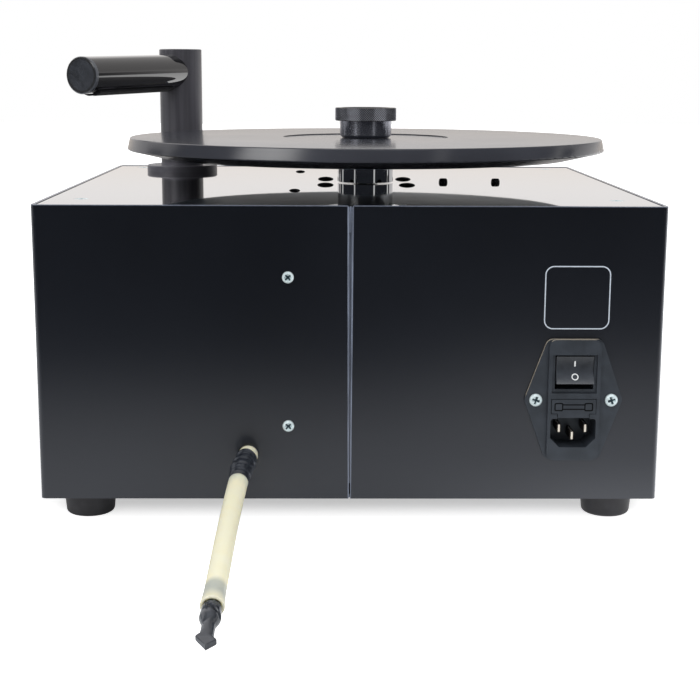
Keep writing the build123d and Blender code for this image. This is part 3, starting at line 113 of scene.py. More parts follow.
def amount(name, text, default, low, high, unit="NONE"):
    """A number within limits."""
    return FloatProperty(
        name=name, description=text, default=default, min=low, max=high, unit=unit
    )


class FinishColours(PropertyGroup):
    panel: tint("Case panel", "Paint of the folded case", (0.0038, 0.0044, 0.0064))
    cut_edge: tint("Cut edge", "Bare metal where the case sheet is cut", (0.17, 0.19, 0.235))
    plate: tint("Top plate", "Gloss black of the top plate and the arm", (0.006, 0.006, 0.007))
    platter: tint("Platter", "Satin plastic of the platter", (0.036, 0.038, 0.047))
    column: tint("Column", "Satin black of the column", (0.050, 0.049, 0.058))
    clamp: tint("Clamp", "Dark anodised metal of the record clamp", (0.34, 0.35, 0.40))
    zinc: tint("Zinc", "Bright zinc screws", (0.80, 0.93, 0.96))
    cap: tint("Arm cap", "Satin face of the arm's end cap", (0.017, 0.020, 0.027))
    sleeve: tint("Sleeve", "Rubber of the hose's sleeve and plug", (0.022, 0.023, 0.027))
    chrome: tint("Polished metal", "Hub and spindle", (0.62, 0.63, 0.65))
    rubber: tint("Rubber", "Feet and inner ducts", (0.030, 0.030, 0.034))
    inlet: tint("Inlet plastic", "Black plastic of the mains inlet", (0.022, 0.026, 0.033))
    hose: tint("Hose", "Cream silicone of the drain hose", (1.0, 0.935, 0.68))
    print_white: tint("Print", "White printed marks", (0.80, 0.82, 0.83))
    pile: tint("Velvet", "Pile of the arm's two lips", (0.006, 0.006, 0.0075))
    tank: tint("Tank plastic", "Milky plastic of the waste tank", (0.62, 0.62, 0.58))


class KnobSizes(PropertyGroup):
    ridges: IntProperty(
        name="Ridges", description="Knurl ridges in each direction", default=84, min=8, max=200
    )
    depth: size("Ridge depth", "Depth of the knurl", 0.00036, 0.0, 0.002)
    edge: size("Plain edge", "Plain chamfer above and below the knurl", 0.0003, 0.0001, 0.003)
    dish: size("Dish", "Depth of the shallow dish in the top", 0.0006, 0.0, 0.003)


class HoseSizes(PropertyGroup):
    outer: size("Outer radius", "Outer radius of the drain hose", 0.0050, 0.001, 0.02)
    sleeve: size("Sleeve radius", "Outer radius of the rubber sleeve", 0.0056, 0.001, 0.02)
    wall: size("Wall", "Wall of the drain hose", 0.0015, 0.0002, 0.005)
    flare: size("Flare", "How far the plug widens the hose's mouth", 0.0006, 0.0, 0.003)
    wrinkle: size("Wrinkle", "Depth of the sleeve's wrinkles", 0.0004, 0.0, 0.002)


class StageSettings(PropertyGroup):
    focal: amount("Lens", "Focal length of the camera", 72.69, 10, 300, "CAMERA")
    daylight: amount("Daylight", "Even light from all around", 0.72, 0, 4)
    overhead: amount("Overhead lamp", "Power of the lamp above the rear", 13.0, 0, 500, "POWER")
    floor: tint("Floor", "Pale floor", (0.86, 0.86, 0.86))


class MachineSettings(PropertyGroup):
    colours: PointerProperty(
        type=FinishColours, name="Colours", description="Colours of the finishes"
    )
    knob: PointerProperty(type=KnobSizes, name="Knob", description="Knurl of the clamp's knob")
    hose: PointerProperty(type=HoseSizes, name="Hose", description="Drain hose and its sleeve")
    stage: PointerProperty(type=StageSettings, name="Stage", description="Camera, light and floor")


def settings():
    """The scene's own settings of this machine."""
    return bpy.context.scene.record_cleaner


# ------------------------------------------------------------------ shader maths
def joined_by(operation):
    """An operator's two methods, plain and reflected, which join two values by a Math node."""

    def plain(self, other):
        return self.math(operation, self, other)

    def reflected(self, other):
        return self.math(operation, other, self)

    return plain, reflected


class Wire:
    """An output socket. Arithmetic on wires and numbers adds Math nodes beside it."""

    def __init__(self, sheet, socket):
        self.sheet = sheet
        self.socket = socket

    def math(self, operation, *values):
        """A Math node on wires and numbers."""
        return self.sheet.add("ShaderNodeMath", dict(enumerate(values)), operation=operation)

    __add__, __radd__ = joined_by("ADD")
    __sub__, __rsub__ = joined_by("SUBTRACT")
    __mul__, __rmul__ = joined_by("MULTIPLY")
    __pow__, __rpow__ = joined_by("POWER")
    lesser = joined_by("MINIMUM")[0]
    greater = joined_by("MAXIMUM")[0]

    def __abs__(self):
        return self.math("ABSOLUTE", self)

    def __neg__(self):
        return self * -1.0

    def root(self):
        """The square root."""
        return self.math("SQRT", self)

    def over(self, other):
        """The angle in radians whose tangent is this over another, over the full turn."""
        return self.math("ARCTAN2", self, other)

    def wave(self):
        """The sine, moved to run from 0 to 1."""
        return self.math("SINE", self) * 0.5 + 0.5

    def ramped(self, low, high):
        """0 at low and 1 at high, smooth between and level beyond. high may be the lesser."""
        rises = high > low
        values = {
            "Value": self,
            "From Min": min(low, high),
            "From Max": max(low, high),
            "To Min": 0.0 if rises else 1.0,
            "To Max": 1.0 if rises else 0.0,
        }
        return self.sheet.add("ShaderNodeMapRange", values, interpolation_type="SMOOTHSTEP")


def scaled(colour, factor):
    """A lighter or darker colour."""
    return tuple(min(1.0, factor * value) for value in colour)


class Sheet:
    """The nodes of one material or world."""

    def __init__(self, owner):
        owner.use_nodes = True
        self.tree = owner.node_tree

    def add(self, kind, values=None, output=0, **options):
        """Adds one node: its options are set first, then its sockets."""
        node = self.tree.nodes.new(kind)
        for option, value in options.items():
            setattr(node, option, value)
        for socket, value in (values or {}).items():
            self.plug(node.inputs[socket], value)
        return Wire(self, node.outputs[output])

    def plug(self, socket, value):
        """Links a wire to a socket, or sets the socket's own value."""
        if isinstance(value, Wire):
            self.tree.links.new(value.socket, socket)
        elif socket.type == "RGBA" and len(value) == 3:
            socket.default_value = (*value, 1.0)
        else:
            socket.default_value = value

    def axes(self, vector):
        """The x, y and z of a vector, each as a wire."""
        node = self.add("ShaderNodeSeparateXYZ", {0: vector}).socket.node
        return [Wire(self, output) for output in node.outputs]

    def ray(self, kind):
        """1 for that kind of ray and 0 for the others."""
        return self.add("ShaderNodeLightPath", output=f"Is {kind} Ray")

    def blend(self, factor, first, second):
        """Colour from first to second."""
        values = {0: factor, 6: first, 7: second}
        return self.add("ShaderNodeMix", values, output=2, data_type="RGBA")

    def shades(self, factor, colour, first, second):
        """From one shade of a colour to another, each given as a multiple of it."""
        return self.blend(factor, scaled(colour, first), scaled(colour, second))

    def times(self, colour, strength):
        """A colour times a wire."""
        return self.add("ShaderNodeVectorMath", {0: colour, "Scale": strength}, operation="SCALE")


class Finish(Sheet):
    """A named material around one Principled shader, with patterns laid out in the frame."""

    SOCKETS = {"ior": "IOR", "specular_ior_level": "Specular IOR Level"}

    def __init__(self, name, **values):
        self.material = bpy.data.materials.new(name)
        super().__init__(self.material)
        self.shader = self.tree.nodes["Principled BSDF"]
        self.place = self.add("ShaderNodeTexCoord", output="Object")
        self.x, self.y, self.z = self.axes(self.place)
        self.set(**values)

    def set(self, **values):
        """Sets the shader's sockets: base_color stands for Base Color, and so on."""
        for key, value in values.items():
            socket = self.SOCKETS.get(key, key.replace("_", " ").title())
            self.plug(self.shader.inputs[socket], value)
        return self

    def skin(self, colour, roughness, height, depth, strength):
        """Sets the colour, the roughness and a bump of that depth in millimetres."""
        values = {"Height": height, "Distance": depth * MM, "Strength": strength}
        bump = self.add("ShaderNodeBump", values)
        return self.set(base_color=colour, roughness=roughness, normal=bump)

    def noise(self, scale, detail=2.0):
        """Noise with so many swells to the metre: one number, or one for each axis."""
        stretch = scale if isinstance(scale, tuple) else (scale, scale, scale)
        place = self.add("ShaderNodeVectorMath", {0: self.place, 1: stretch}, operation="MULTIPLY")
        return self.add("ShaderNodeTexNoise", {"Vector": place, "Scale": 1.0, "Detail": detail})

    def around(self, axis):
        """Distance from an upright axis."""
        return ((self.x - axis.x) ** 2.0 + (self.y - axis.y) ** 2.0).root()

    def dust(self, share):
        """A thin scatter of specks: small bright cells, thinned out by a wide noise."""
        values = {"Vector": self.place, "Scale": 420.0}
        speck = self.add("ShaderNodeTexVoronoi", values, output="Distance").ramped(0.09, 0.05)
        return speck * self.noise(60.0).ramped(0.55, 0.7) * share


# ------------------------------------------------------------------ finishes
def panel_paint(c):
    """Smooth black paint with a faint orange peel; bare metal where the sheet is cut.

    The cut sides of the seam stand open less and less towards the floor."""
    f = Finish("panel_paint", coat_weight=0.8, coat_roughness=0.16)
    f.set(coat_tint=(0.88, 0.92, 1.0), specular_tint=(0.84, 0.89, 1.0))
    half = (f.z - CASE_LO.z) * SEAM_SPREAD + SEAM_HALF
    seam = (abs(f.x - CASE_MIDDLE.x) - half).ramped(0.1 * MM, -0.1 * MM)
    seam = seam * f.y.ramped(CASE_LO.y + 2.6 * MM, CASE_LO.y + 2.4 * MM)
    top_edge = f.z.ramped(CASE_HI.z - 0.6 * MM, CASE_HI.z - 0.2 * MM)
    bare = seam.greater(top_edge * 0.8)
    metal = f.shades(f.noise((1400.0, 1400.0, 40.0)).ramped(0.35, 0.65), c.cut_edge, 0.7, 1.25)
    paint = f.shades(f.noise(9.0, 3.0).ramped(0.35, 0.75), c.panel, 1.0, 1.35)
    paint = f.blend(f.dust(0.5), paint, (0.05, 0.05, 0.055))
    smear = f.noise((14.0, 14.0, 3.0), 4.0)
    rough = 0.24 + smear * 0.12 + bare * 0.2
    return f.skin(f.blend(bare, paint, metal), rough, f.noise(1500.0, 1.0), 0.02, 0.25)


def deep_gloss(c):
    """Deep gloss black with hairline scratches and a little dust."""
    f = Finish("deep_gloss", coat_weight=1.0, coat_roughness=0.015, specular_ior_level=0.5)
    haze = f.noise(30.0, 3.0).ramped(0.4, 0.8)
    scratch = f.noise((900.0, 60.0, 60.0), 1.0).ramped(0.66, 0.72)
    colour = f.blend(f.dust(0.6), c.plate, (0.08, 0.08, 0.085))
    return f.set(base_color=colour, roughness=0.03 + haze * 0.03 + scratch * 0.05)


def platter_satin(c):
    """Satin plastic with fine rings about the platter's axis; the underside is matt, with painted
    light that makes it paler and bluer.
    """
    f = Finish("platter_satin", ior=1.5)
    rings = (f.around(PLATTER_AXIS) * 9000.0 + f.noise(25.0) * 3.0).wave()
    cloud = f.noise(22.0, 4.0)
    colour = f.shades(cloud.ramped(0.3, 0.75), c.platter, 1.0, 1.3)
    colour = f.blend(f.dust(0.35), colour, (0.25, 0.24, 0.23))
    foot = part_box("platter")[0].z
    # painted light: the underside is painted pale blue
    below = f.z.ramped(foot + 0.3 * MM, foot + 0.1 * MM)
    colour = f.blend(below, colour, (0.15, 0.20, 0.27))
    rough = 0.15 + cloud * 0.05 + rings * 0.02 + below * 0.3
    return f.skin(colour, rough, rings, 0.003, 0.1)


def column_satin(c):
    """Fine-grained satin black, drawn along its length, with painted light that makes it lighter
    just above the collar.
    """
    f = Finish("column_satin")
    drawn = f.noise((420.0, 420.0, 12.0), 3.0)
    body = f.shades(drawn.ramped(0.3, 0.75), c.column, 1.0, 1.5)
    collar_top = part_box("column_collar")[1].z
    # painted light: the last few millimetres above the collar are painted three times lighter
    foot = f.z.ramped(collar_top + 3.0 * MM, collar_top + 0.5 * MM)
    colour = f.blend(foot * 0.75, body, scaled(c.column, 3.0))
    return f.skin(colour, 0.30 + drawn * 0.12, f.noise(1800.0), 0.02, 0.3)


def cap_face():
    """Middle and radius of the arm cap's face: its points that lie farthest from the column."""
    points = points_of(NODES["arm_end_cap"].data)
    out = points.mean(axis=0) - (COLUMN_AXIS.x, COLUMN_AXIS.y, points[:, 2].mean())
    along = points @ (out / np.linalg.norm(out))
    face = points[along > along.max() - 0.8 * MM]
    middle = (face.min(axis=0) + face.max(axis=0)) / 2
    return middle, np.linalg.norm(face - middle, axis=1).max()


def cap_satin(c):
    """Satin face, cloudy and faintly blue, with a groove in painted shade inside a rim with a
    painted highlight.

    Both follow the distance from the middle of the face."""
    f = Finish("cap_satin", coat_weight=0.5, coat_roughness=0.10)
    middle, radius = cap_face()
    values = {0: f.place, 1: tuple(middle)}
    away = f.add("ShaderNodeVectorMath", values, output="Value", operation="DISTANCE")
    groove = away.ramped(0.80 * radius, 0.86 * radius) * away.ramped(0.965 * radius, 0.93 * radius)
    painted_highlight = away.ramped(0.95 * radius, 0.985 * radius)
    cloud = f.noise(190.0, 3.0)
    colour = f.shades(cloud.ramped(0.3, 0.75), c.cap, 0.75, 1.35)
    # painted shade: the groove is painted near black
    colour = f.blend(groove * 0.85, colour, (0.003, 0.0035, 0.0045))
    # painted highlight: a pale band along the face's rim
    colour = f.blend(painted_highlight * 0.7, colour, (0.10, 0.11, 0.13))
    return f.skin(colour, 0.30 + cloud * 0.16, f.noise(1500.0), 0.03, 0.3)


def clamp_metal(c):
    """Dark anodised metal with fine turning marks."""
    f = Finish("clamp_metal", metallic=0.95)
    turning = (f.z * 26000.0 + f.noise(90.0) * 4.0).wave()
    wear = f.noise((120.0, 120.0, 36.0))
    colour = f.shades(wear.ramped(0.45, 0.8), c.clamp, 1.0, 1.25)
    return f.skin(colour, 0.19 + wear * 0.04 + turning * 0.02, turning, 0.002, 0.15)


def knurled_metal(c):
    """The clamp's metal on the knurl: bright on the points, partly from wear and partly a painted
    highlight, and black in the grooves with painted shade.
    """
    f = Finish("knurled_metal", metallic=0.55)
    lo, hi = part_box("clamp_knob")
    radius = (hi.x - lo.x) / 2
    # painted highlight on the points and painted shade in the grooves, by distance from the axis
    point = f.around(PLATTER_AXIS).ramped(radius - 0.28 * MM, radius - 0.09 * MM)
    wear = f.noise(160.0, 3.0)
    colour = f.shades(point * (wear * 0.5 + 0.5), c.clamp, 0.03, 1.7)
    return f.skin(colour, 0.16 + wear * 0.10, f.noise(2500.0), 0.01, 0.1)


def zinc_on(f, c, rim=0.0, slot=0.0):
    """Zinc plate: bluish white and a little cloudy, with painted shade that darkens a rim and makes
    a slot nearly black.
    """
    cloud = f.noise(260.0)
    metal = f.shades(cloud.ramped(0.35, 0.7), c.zinc, 0.84, 1.04)
    metal = f.blend(rim, metal, scaled(c.zinc, 0.35))
    metal = f.blend(slot, metal, (0.008, 0.035, 0.05))
    return f.skin(metal, 0.26 + cloud * 0.1, f.noise(3000.0), 0.006, 0.2)


def bright_zinc(c):
    """Zinc plate on levers, nuts and plain screws."""
    return zinc_on(Finish("bright_zinc", metallic=0.35), c)


def crossed_zinc(name, node, c, turn):
    """Zinc screw heads in the rear wall, each with a cross slot in painted shade and painted shade
    towards its rim.

    Two heads lie apart along x or z, so folding that one over about the middle of the node's
    box brings both centres onto one place. A point is in the slot where it is near the middle
    line of either arm of the cross."""
    f = Finish(name, metallic=0.2)
    lo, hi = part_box(node)
    wide, tall = hi.x - lo.x, hi.z - lo.z
    head = min(wide, tall) / 2
    across, above = f.x - (lo.x + hi.x) / 2, f.z - (lo.z + hi.z) / 2
    if wide > tall:
        across = abs(across) - (wide / 2 - head)
    else:
        above = abs(above) - (tall / 2 - head)
    u = abs(across * math.cos(turn) + above * math.sin(turn))
    v = abs(above * math.cos(turn) - across * math.sin(turn))
    reach, half, soft = 0.60 * head, 0.15 * head, 0.1 * MM
    # painted shade: the cross slot is painted nearly black
    slot = u.greater(v).ramped(reach + soft, reach - soft)
    slot = u.lesser(v).ramped(half + 1.2 * soft, half - 1.2 * soft) * slot
    # painted shade: each head darkens towards its rim
    rim = (across ** 2.0 + above ** 2.0).root().ramped(0.86 * head, 0.98 * head)
    return zinc_on(f, c, rim * 0.6, slot)


def inlet_screw_zinc(c):
    """The inlet's two screws."""
    return crossed_zinc("inlet_screw_zinc", "inlet_screws", c, 0.35)


def bracket_screw_zinc(c):
    """The two screws that hold the tank's bracket."""
    return crossed_zinc("bracket_screw_zinc", "bracket_screws", c, 0.75)


def contact_metal(c):
    """Nickelled contacts of the mains inlet: warm, with a painted highlight down the middle and
    painted shade, dull and dark, on both sides.
    """
    f = Finish("contact_metal", metallic=0.8)
    lo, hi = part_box("inlet_pins")
    off = abs(f.x - (lo.x + hi.x) / 2)
    off = off.lesser(abs(off - ((hi.x - lo.x) / 2 - 1.0 * MM)))
    # painted highlight: a bright stripe down each contact's middle, with painted shade beside it
    painted_stripe = off.ramped(0.62 * MM, 0.42 * MM)
    cloud = f.noise(500.0)
    bright = f.blend(cloud, (0.86, 0.78, 0.66), (0.98, 0.93, 0.84))
    rough = 0.16 + cloud * 0.12 + (1.0 - painted_stripe) * 0.3
    return f.skin(f.blend(painted_stripe, (0.035, 0.030, 0.026), bright), rough, cloud, 0.01, 0.2)


def black_oxide(c):
    """Blackened screw heads, with a little wear on their edges."""
    f = Finish("black_oxide", metallic=0.4)
    wear = f.noise(900.0, 3.0)
    colour = f.blend(wear.ramped(0.5, 0.75), (0.015, 0.015, 0.017), (0.12, 0.12, 0.13))
    return f.skin(colour, 0.18 + wear * 0.15, wear, 0.01, 0.2)


def polished_metal(c):
    """Polished metal with a faint upright grain."""
    f = Finish("polished_metal", metallic=1.0)
    grain = f.noise((2200.0, 2200.0, 60.0))
    return f.skin(f.shades(grain, c.chrome, 0.8, 1.0), 0.035 + grain * 0.04, grain, 0.002, 0.15)


def moulded_rubber(c):
    """Matt rubber with a fine uneven skin."""
    f = Finish("moulded_rubber", specular_ior_level=0.4)
    cloud = f.noise(120.0, 3.0)
    colour = f.shades(cloud.ramped(0.35, 0.8), c.rubber, 1.0, 1.7)
    return f.skin(colour, 0.46 + cloud * 0.2, f.noise(1400.0, 3.0), 0.04, 0.35)


def sleeve_rubber(c):
    """Tight glossy rubber of the sleeve and the plug."""
    f = Finish("sleeve_rubber", coat_weight=1.0, coat_roughness=0.12, coat_tint=(0.86, 0.92, 1.0))
    cloud = f.noise(240.0, 4.0)
    colour = f.shades(cloud.ramped(0.4, 0.75), c.sleeve, 1.0, 1.8)
    return f.skin(colour, 0.26 + cloud * 0.2, cloud, 0.12, 0.4)


def inlet_plastic(c):
    """Moulded plastic with a spark-eroded grain, cloudy.

    The flange's thin edge carries a painted brown highlight where it faces up and to the left."""
    f = Finish("inlet_plastic", specular_tint=(0.86, 0.93, 1.0))
    grain = f.noise(3200.0)
    body = f.shades(f.noise(130.0, 4.0).ramped(0.3, 0.7), c.inlet, 1.0, 1.5)
    lo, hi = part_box("inlet_housing")
    left = (lo.x + hi.x) / 2 - 14.2 * MM
    waist = (lo.z + hi.z) / 2
    rim = f.x.ramped(left + 0.1 * MM, left - 0.1 * MM)
    rim = rim.greater(f.z.ramped(hi.z - 1.2 * MM, hi.z - 1.0 * MM))
    rim = rim * f.z.ramped(waist + 1.0 * MM, waist + 3.0 * MM)
    rim = rim * f.y.ramped(lo.y + 0.3 * MM, lo.y + 0.4 * MM)
    rim = rim * f.y.ramped(CASE_LO.y + 0.2 * MM, CASE_LO.y - 0.1 * MM)
    east, _, up = f.axes(f.add("ShaderNodeNewGeometry", output="Normal"))
    # painted highlight: a brown line on the flange's thin edge where it faces up and to the left
    edge = rim * (up * 0.75 - east * 0.65).ramped(0.45, 0.6)
    colour = f.blend(edge, body, (0.38, 0.34, 0.28))
    return f.skin(colour, 0.32 + grain * 0.12, grain, 0.02, 0.3)


def rocker_plastic(c):
    """Smoother plastic of the rocker, with painted light that makes its lower half lighter."""
    f = Finish("rocker_plastic", coat_weight=0.4, coat_roughness=0.3)
    lo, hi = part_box("power_rocker")
    # painted light: the lower half is painted lighter than the upper
    painted_highlight = f.z.ramped(hi.z - 4.0 * MM, lo.z + 4.0 * MM)
    rub = f.noise(260.0, 3.0)
    colour = f.shades(rub.ramped(0.2, 0.8) * 0.35 + painted_highlight * 0.65, c.inlet, 0.75, 1.9)
    return f.skin(colour, 0.3 + rub * 0.14, f.noise(2600.0), 0.01, 0.25)


def mark_print(c):
    """White print, slightly uneven."""
    f = Finish("mark_print")
    patch = f.noise(1600.0)
    return f.skin(f.shades(patch, c.print_white, 1.0, 0.86), 0.5, patch, 0.01, 0.2)


def plate_print(c):
    """Thin pale line of the bare rating plate's outline."""
    f = Finish("plate_print")
    patch = f.noise(900.0)
    colour = f.blend(patch, (0.62, 0.68, 0.76), (0.42, 0.48, 0.56))
    return f.skin(colour, 0.45, patch, 0.01, 0.2)


def sign_groove_shade(c):
    """Lines of the moulded fuse sign, painted near black as the shade in them."""
    f = Finish("sign_groove_shade", specular_ior_level=0.1)
    patch = f.noise(1300.0)
    colour = f.blend(patch, (0.0022, 0.0025, 0.003), (0.005, 0.0055, 0.0065))
    return f.skin(colour, 0.8, patch, 0.01, 0.2)


def hose_silicone(c):
    """Milky silicone, a little darker at its start, with painted shade where the sleeve lies inside
    it.

    The plug's shank shows through the wall near the mouth as a cool shade."""
    f = Finish("hose_silicone", ior=1.4, coat_weight=0.15, subsurface_weight=0.45)
    f.set(subsurface_radius=(0.004, 0.0036, 0.0026), subsurface_scale=1.0)
    start, mouth = from_case(HOSE_ROUTE[0]).y, from_case(HOSE_ROUTE[-1]).y
    shank = f.y.ramped(mouth - 1.0 * MM, mouth + 6.0 * MM) * 0.6 + 0.4
    shank = f.y.ramped(mouth + 15.5 * MM, mouth + 10.0 * MM) * shank
    # painted shade over the start, where the end of the sleeve lies inside the hose
    sleeve_shade = f.y.ramped(start - 12.0 * MM, start - 1.0 * MM)
    sleeve_shade = sleeve_shade * f.y.ramped(start + 4.0 * MM, start + 2.0 * MM)
    cloud = f.noise(160.0, 3.0)
    milk = f.blend(cloud.ramped(0.2, 0.9), c.hose, (1.0, 0.91, 0.62))
    milk = f.blend(sleeve_shade * 0.5, milk, (0.50, 0.58, 0.50))
    colour = f.blend(shank * (0.55 + cloud * 0.3), milk, (0.30, 0.36, 0.39))
    return f.skin(colour, 0.30 + cloud * 0.12, f.noise(900.0), 0.02, 0.2)


def velvet_pile(c):
    """Short upright pile with a faint sheen."""
    f = Finish("velvet_pile", sheen_weight=0.08, specular_ior_level=0.1)
    colour = f.shades(f.noise(260.0, 3.0).ramped(0.35, 0.75), c.pile, 1.0, 2.4)
    return f.skin(colour, 0.9, f.noise(4200.0), 0.3, 0.8)


def tank_plastic(c):
    """Milky moulded plastic."""
    f = Finish("tank_plastic", subsurface_weight=0.15)
    flow = f.noise((18.0, 18.0, 54.0), 3.0)
    colour = f.shades(flow, c.tank, 1.0, 0.85)
    return f.skin(colour, 0.4 + flow * 0.12, f.noise(900.0), 0.03, 0.3)


def rolled_steel(c):
    """Sheet steel with a rolled grain along X."""
    f = Finish("rolled_steel", metallic=1.0)
    grain = f.noise((40.0, 1600.0, 1600.0), 3.0)
    colour = f.blend(grain, (0.42, 0.42, 0.43), (0.60, 0.60, 0.61))
    return f.skin(colour, 0.28 + grain * 0.18, grain, 0.01, 0.3)


def cast_aluminium(c):
    """Cast aluminium with a sandy skin."""
    f = Finish("cast_aluminium", metallic=0.9)
    sand = f.noise(1100.0, 4.0)
    colour = f.blend(sand, (0.40, 0.41, 0.42), (0.58, 0.59, 0.60))
    return f.skin(colour, 0.42 + sand * 0.2, sand, 0.08, 0.5)


def cut_brass(c):
    """Machined brass with rings about the platter's axis."""
    f = Finish("cut_brass", metallic=1.0)
    rings = (f.around(PLATTER_AXIS) * 14000.0).wave()
    tarnish = f.noise(200.0, 3.0)
    colour = f.blend(tarnish.ramped(0.4, 0.8), (0.62, 0.44, 0.16), (0.40, 0.28, 0.12))
    return f.skin(colour, 0.26 + rings * 0.05 + tarnish * 0.1, rings, 0.006, 0.3)


def motor_enamel(c):
    """Dark enamel over a steel can."""
    f = Finish("motor_enamel", coat_weight=0.3)
    skin = f.noise(700.0, 3.0)
    colour = f.blend(skin, (0.045, 0.047, 0.05), (0.07, 0.072, 0.076))
    return f.skin(colour, 0.35 + skin * 0.15, skin, 0.04, 0.4)


def fuse_glass(c):
    """Glass tube between two metal caps."""
    f = Finish("fuse_glass")
    lo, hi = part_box("fuse")
    first = f.x.ramped(lo.x + 5.5 * MM, lo.x + 5.0 * MM)
    cap = first.greater(f.x.ramped(hi.x - 5.5 * MM, hi.x - 5.0 * MM))
    cloud = f.noise(900.0)
    colour = f.blend(cap, (0.75, 0.78, 0.78), (0.7, 0.7, 0.72))
    return f.set(metallic=cap).skin(colour, 0.1 + cloud * 0.12, cloud, 0.01, 0.2)


FINISH_OF = {
    panel_paint: ["case_wrap", "seam_strip", "base_plate"],
    deep_gloss: ["top_plate", "arm_tube"],
    cap_satin: ["arm_end_cap"],
    platter_satin: ["platter"],
    column_satin: ["column_collar", "swivel_bush", "column_tube", "column_cap", "column_well"],
    clamp_metal: ["clamp_foot", "clamp_knob"],
    bright_zinc: [
        "corner_screws", "foot_screws", "platter_screws",
        "switch_nuts", "direction_lever", "pump_lever",
    ],
    inlet_screw_zinc: ["inlet_screws"],
    bracket_screw_zinc: ["bracket_screws"],
    contact_metal: ["inlet_pins"],
    black_oxide: ["motor_screws", "plate_screws"],
    polished_metal: ["platter_hub", "spindle"],
    moulded_rubber: ["feet", "suction_sleeve", "air_duct", "fan_ring"],
    sleeve_rubber: ["hose_sleeve", "drain_plug"],
    inlet_plastic: ["inlet_housing", "fuse_drawer", "switch_bodies"],
    rocker_plastic: ["power_rocker"],
    hose_silicone: ["drain_hose", "drain_stub"],
    velvet_pile: ["velvet_strips"],
    tank_plastic: ["tank", "tank_lid", "terminal_block"],
    rolled_steel: [
        "plate_rail", "output_shaft", "motor_pinion", "lift_spring",
        "tank_bracket", "fan_cover", "fan_housing",
    ],
    cast_aluminium: [
        "corner_posts", "gearbox_housing", "gearbox_cover", "fan_impeller", "fan_cradle",
    ],
    cut_brass: ["drive_gear"],
    motor_enamel: ["platter_motor", "fan_motor"],
    fuse_glass: ["fuse"],
}


def finish_named(make):
    """The finish that a function makes, made once."""
    ready = bpy.data.materials.get(make.__name__)
    return ready or make(settings().colours).material


# ------------------------------------------------------------------ surfaces
def circle(count):
    """Evenly spaced angles once round."""
    return np.linspace(0.0, 2.0 * math.pi, count, endpoint=False)


def risen(value, start, run):
    """0 before start, rising evenly to 1 over a run. A negative run counts downwards."""
    return np.clip((value - start) / run, 0.0, 1.0)


def points_of(mesh):
    """A mesh's points, one in each row."""
    flat = np.empty(3 * len(mesh.vertices))
    mesh.vertices.foreach_get("co", flat)
    return flat.reshape(-1, 3)


def loft(rings, looped=False):
    """Points and faces of closed rings, each running anticlockwise about the way ahead.

    rings is an array of stations by points by 3. Neighbouring rings are joined by four-sided
    faces. The last ring is joined to the first, or each of the two is closed by a flat face."""
    stations, around = rings.shape[:2]
    index = np.arange(stations * around).reshape(stations, around)
    steps = slice(None) if looped else slice(-1)
    here, there = index[steps], np.roll(index, -1, axis=0)[steps]
    corners = [here, np.roll(here, -1, axis=1), np.roll(there, -1, axis=1), there]
    faces = np.stack(corners, axis=-1).reshape(-1, 4).tolist()
    if not looped:
        faces += [index[0, ::-1].tolist(), index[-1].tolist()]
    return rings.reshape(-1, 3), faces


def joined(shapes):
    """Points and faces of several shapes as one."""
    points, faces, base = [], [], 0
    for shape_points, shape_faces in shapes:
        points.append(shape_points)
        faces += [[i + base for i in face] for face in shape_faces]
        base += len(shape_points)
    return np.concatenate(points), faces


def turned(radius, height, around, axis):
    """Rings of a turned piece: each row of radii goes once round an upright axis at its height.

    A row holds one radius, or one for each point of its ring."""
    radius = np.broadcast_to(radius, (len(height), around))
    x = axis.x + radius * np.cos(circle(around))
    y = axis.y + radius * np.sin(circle(around))
    return np.stack([x, y, np.broadcast_to(height[:, None], x.shape)], axis=-1)


def frames_along(path):
    """Tangent, level side vector and upward vector at each point of a path, never upright."""
    ahead = np.gradient(path, axis=0)
    ahead /= np.linalg.norm(ahead, axis=1, keepdims=True)
    side = np.cross(ahead, (0.0, 0.0, 1.0))
    side /= np.linalg.norm(side, axis=1, keepdims=True)
    return ahead, side, np.cross(side, ahead)


def rings_along(path, radius, around):
    """Rings about a path: a point lies radius * (sin a * up - cos a * side) from the path.

    radius is one number for each ring, or one for each point of each ring. The minus keeps the
    ring anticlockwise, because ahead, side and up make a left-handed set."""
    _, side, up = frames_along(path)
    radius = np.asarray(radius, float).reshape(len(path), -1)
    radius = np.broadcast_to(radius, (len(path), around))[..., None]
    cosine, sine = np.cos(circle(around))[:, None], np.sin(circle(around))[:, None]
    return path[:, None] - radius * cosine * side[:, None] + radius * sine * up[:, None]


def put(name, shape, finish, body, stands_for=(), sharp=40.0):
    """Links a piece that rides on a body and stands for nodes, smooth up to an angle in degrees."""
    points, faces = shape
    mesh = bpy.data.meshes.new(name)
    mesh.from_pydata(points.tolist(), [], faces)
    mesh.validate()
    mesh.shade_smooth()
    mesh.set_sharp_from_angle(angle=math.radians(sharp))
    mesh.materials.append(finish_named(finish))
    piece = bpy.data.objects.new(name, mesh)
    bpy.context.scene.collection.objects.link(piece)
    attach(piece, body)
    if stands_for:
        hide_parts(*stands_for)
    return piece


def smoothed(node, name, finish, body, slot, sharp=30.0):
    """A merged copy of a CAD node that shades smoothly across its facets and stands for it."""
    source = NODES[node].data
    points = points_of(source)
    _, first, where = np.unique(
        np.round(points, 7), axis=0, return_index=True, return_inverse=True
    )
    corners = np.empty(len(source.loops), np.int64)
    source.loops.foreach_get("vertex_index", corners)
    triangles = where.reshape(-1)[corners].reshape(-1, 3)
    whole = (np.diff(np.sort(triangles, axis=1), axis=1) > 0).all(axis=1)
    shape = points[first], triangles[whole].tolist()
    put(name, shape, finish, body, [node], sharp)


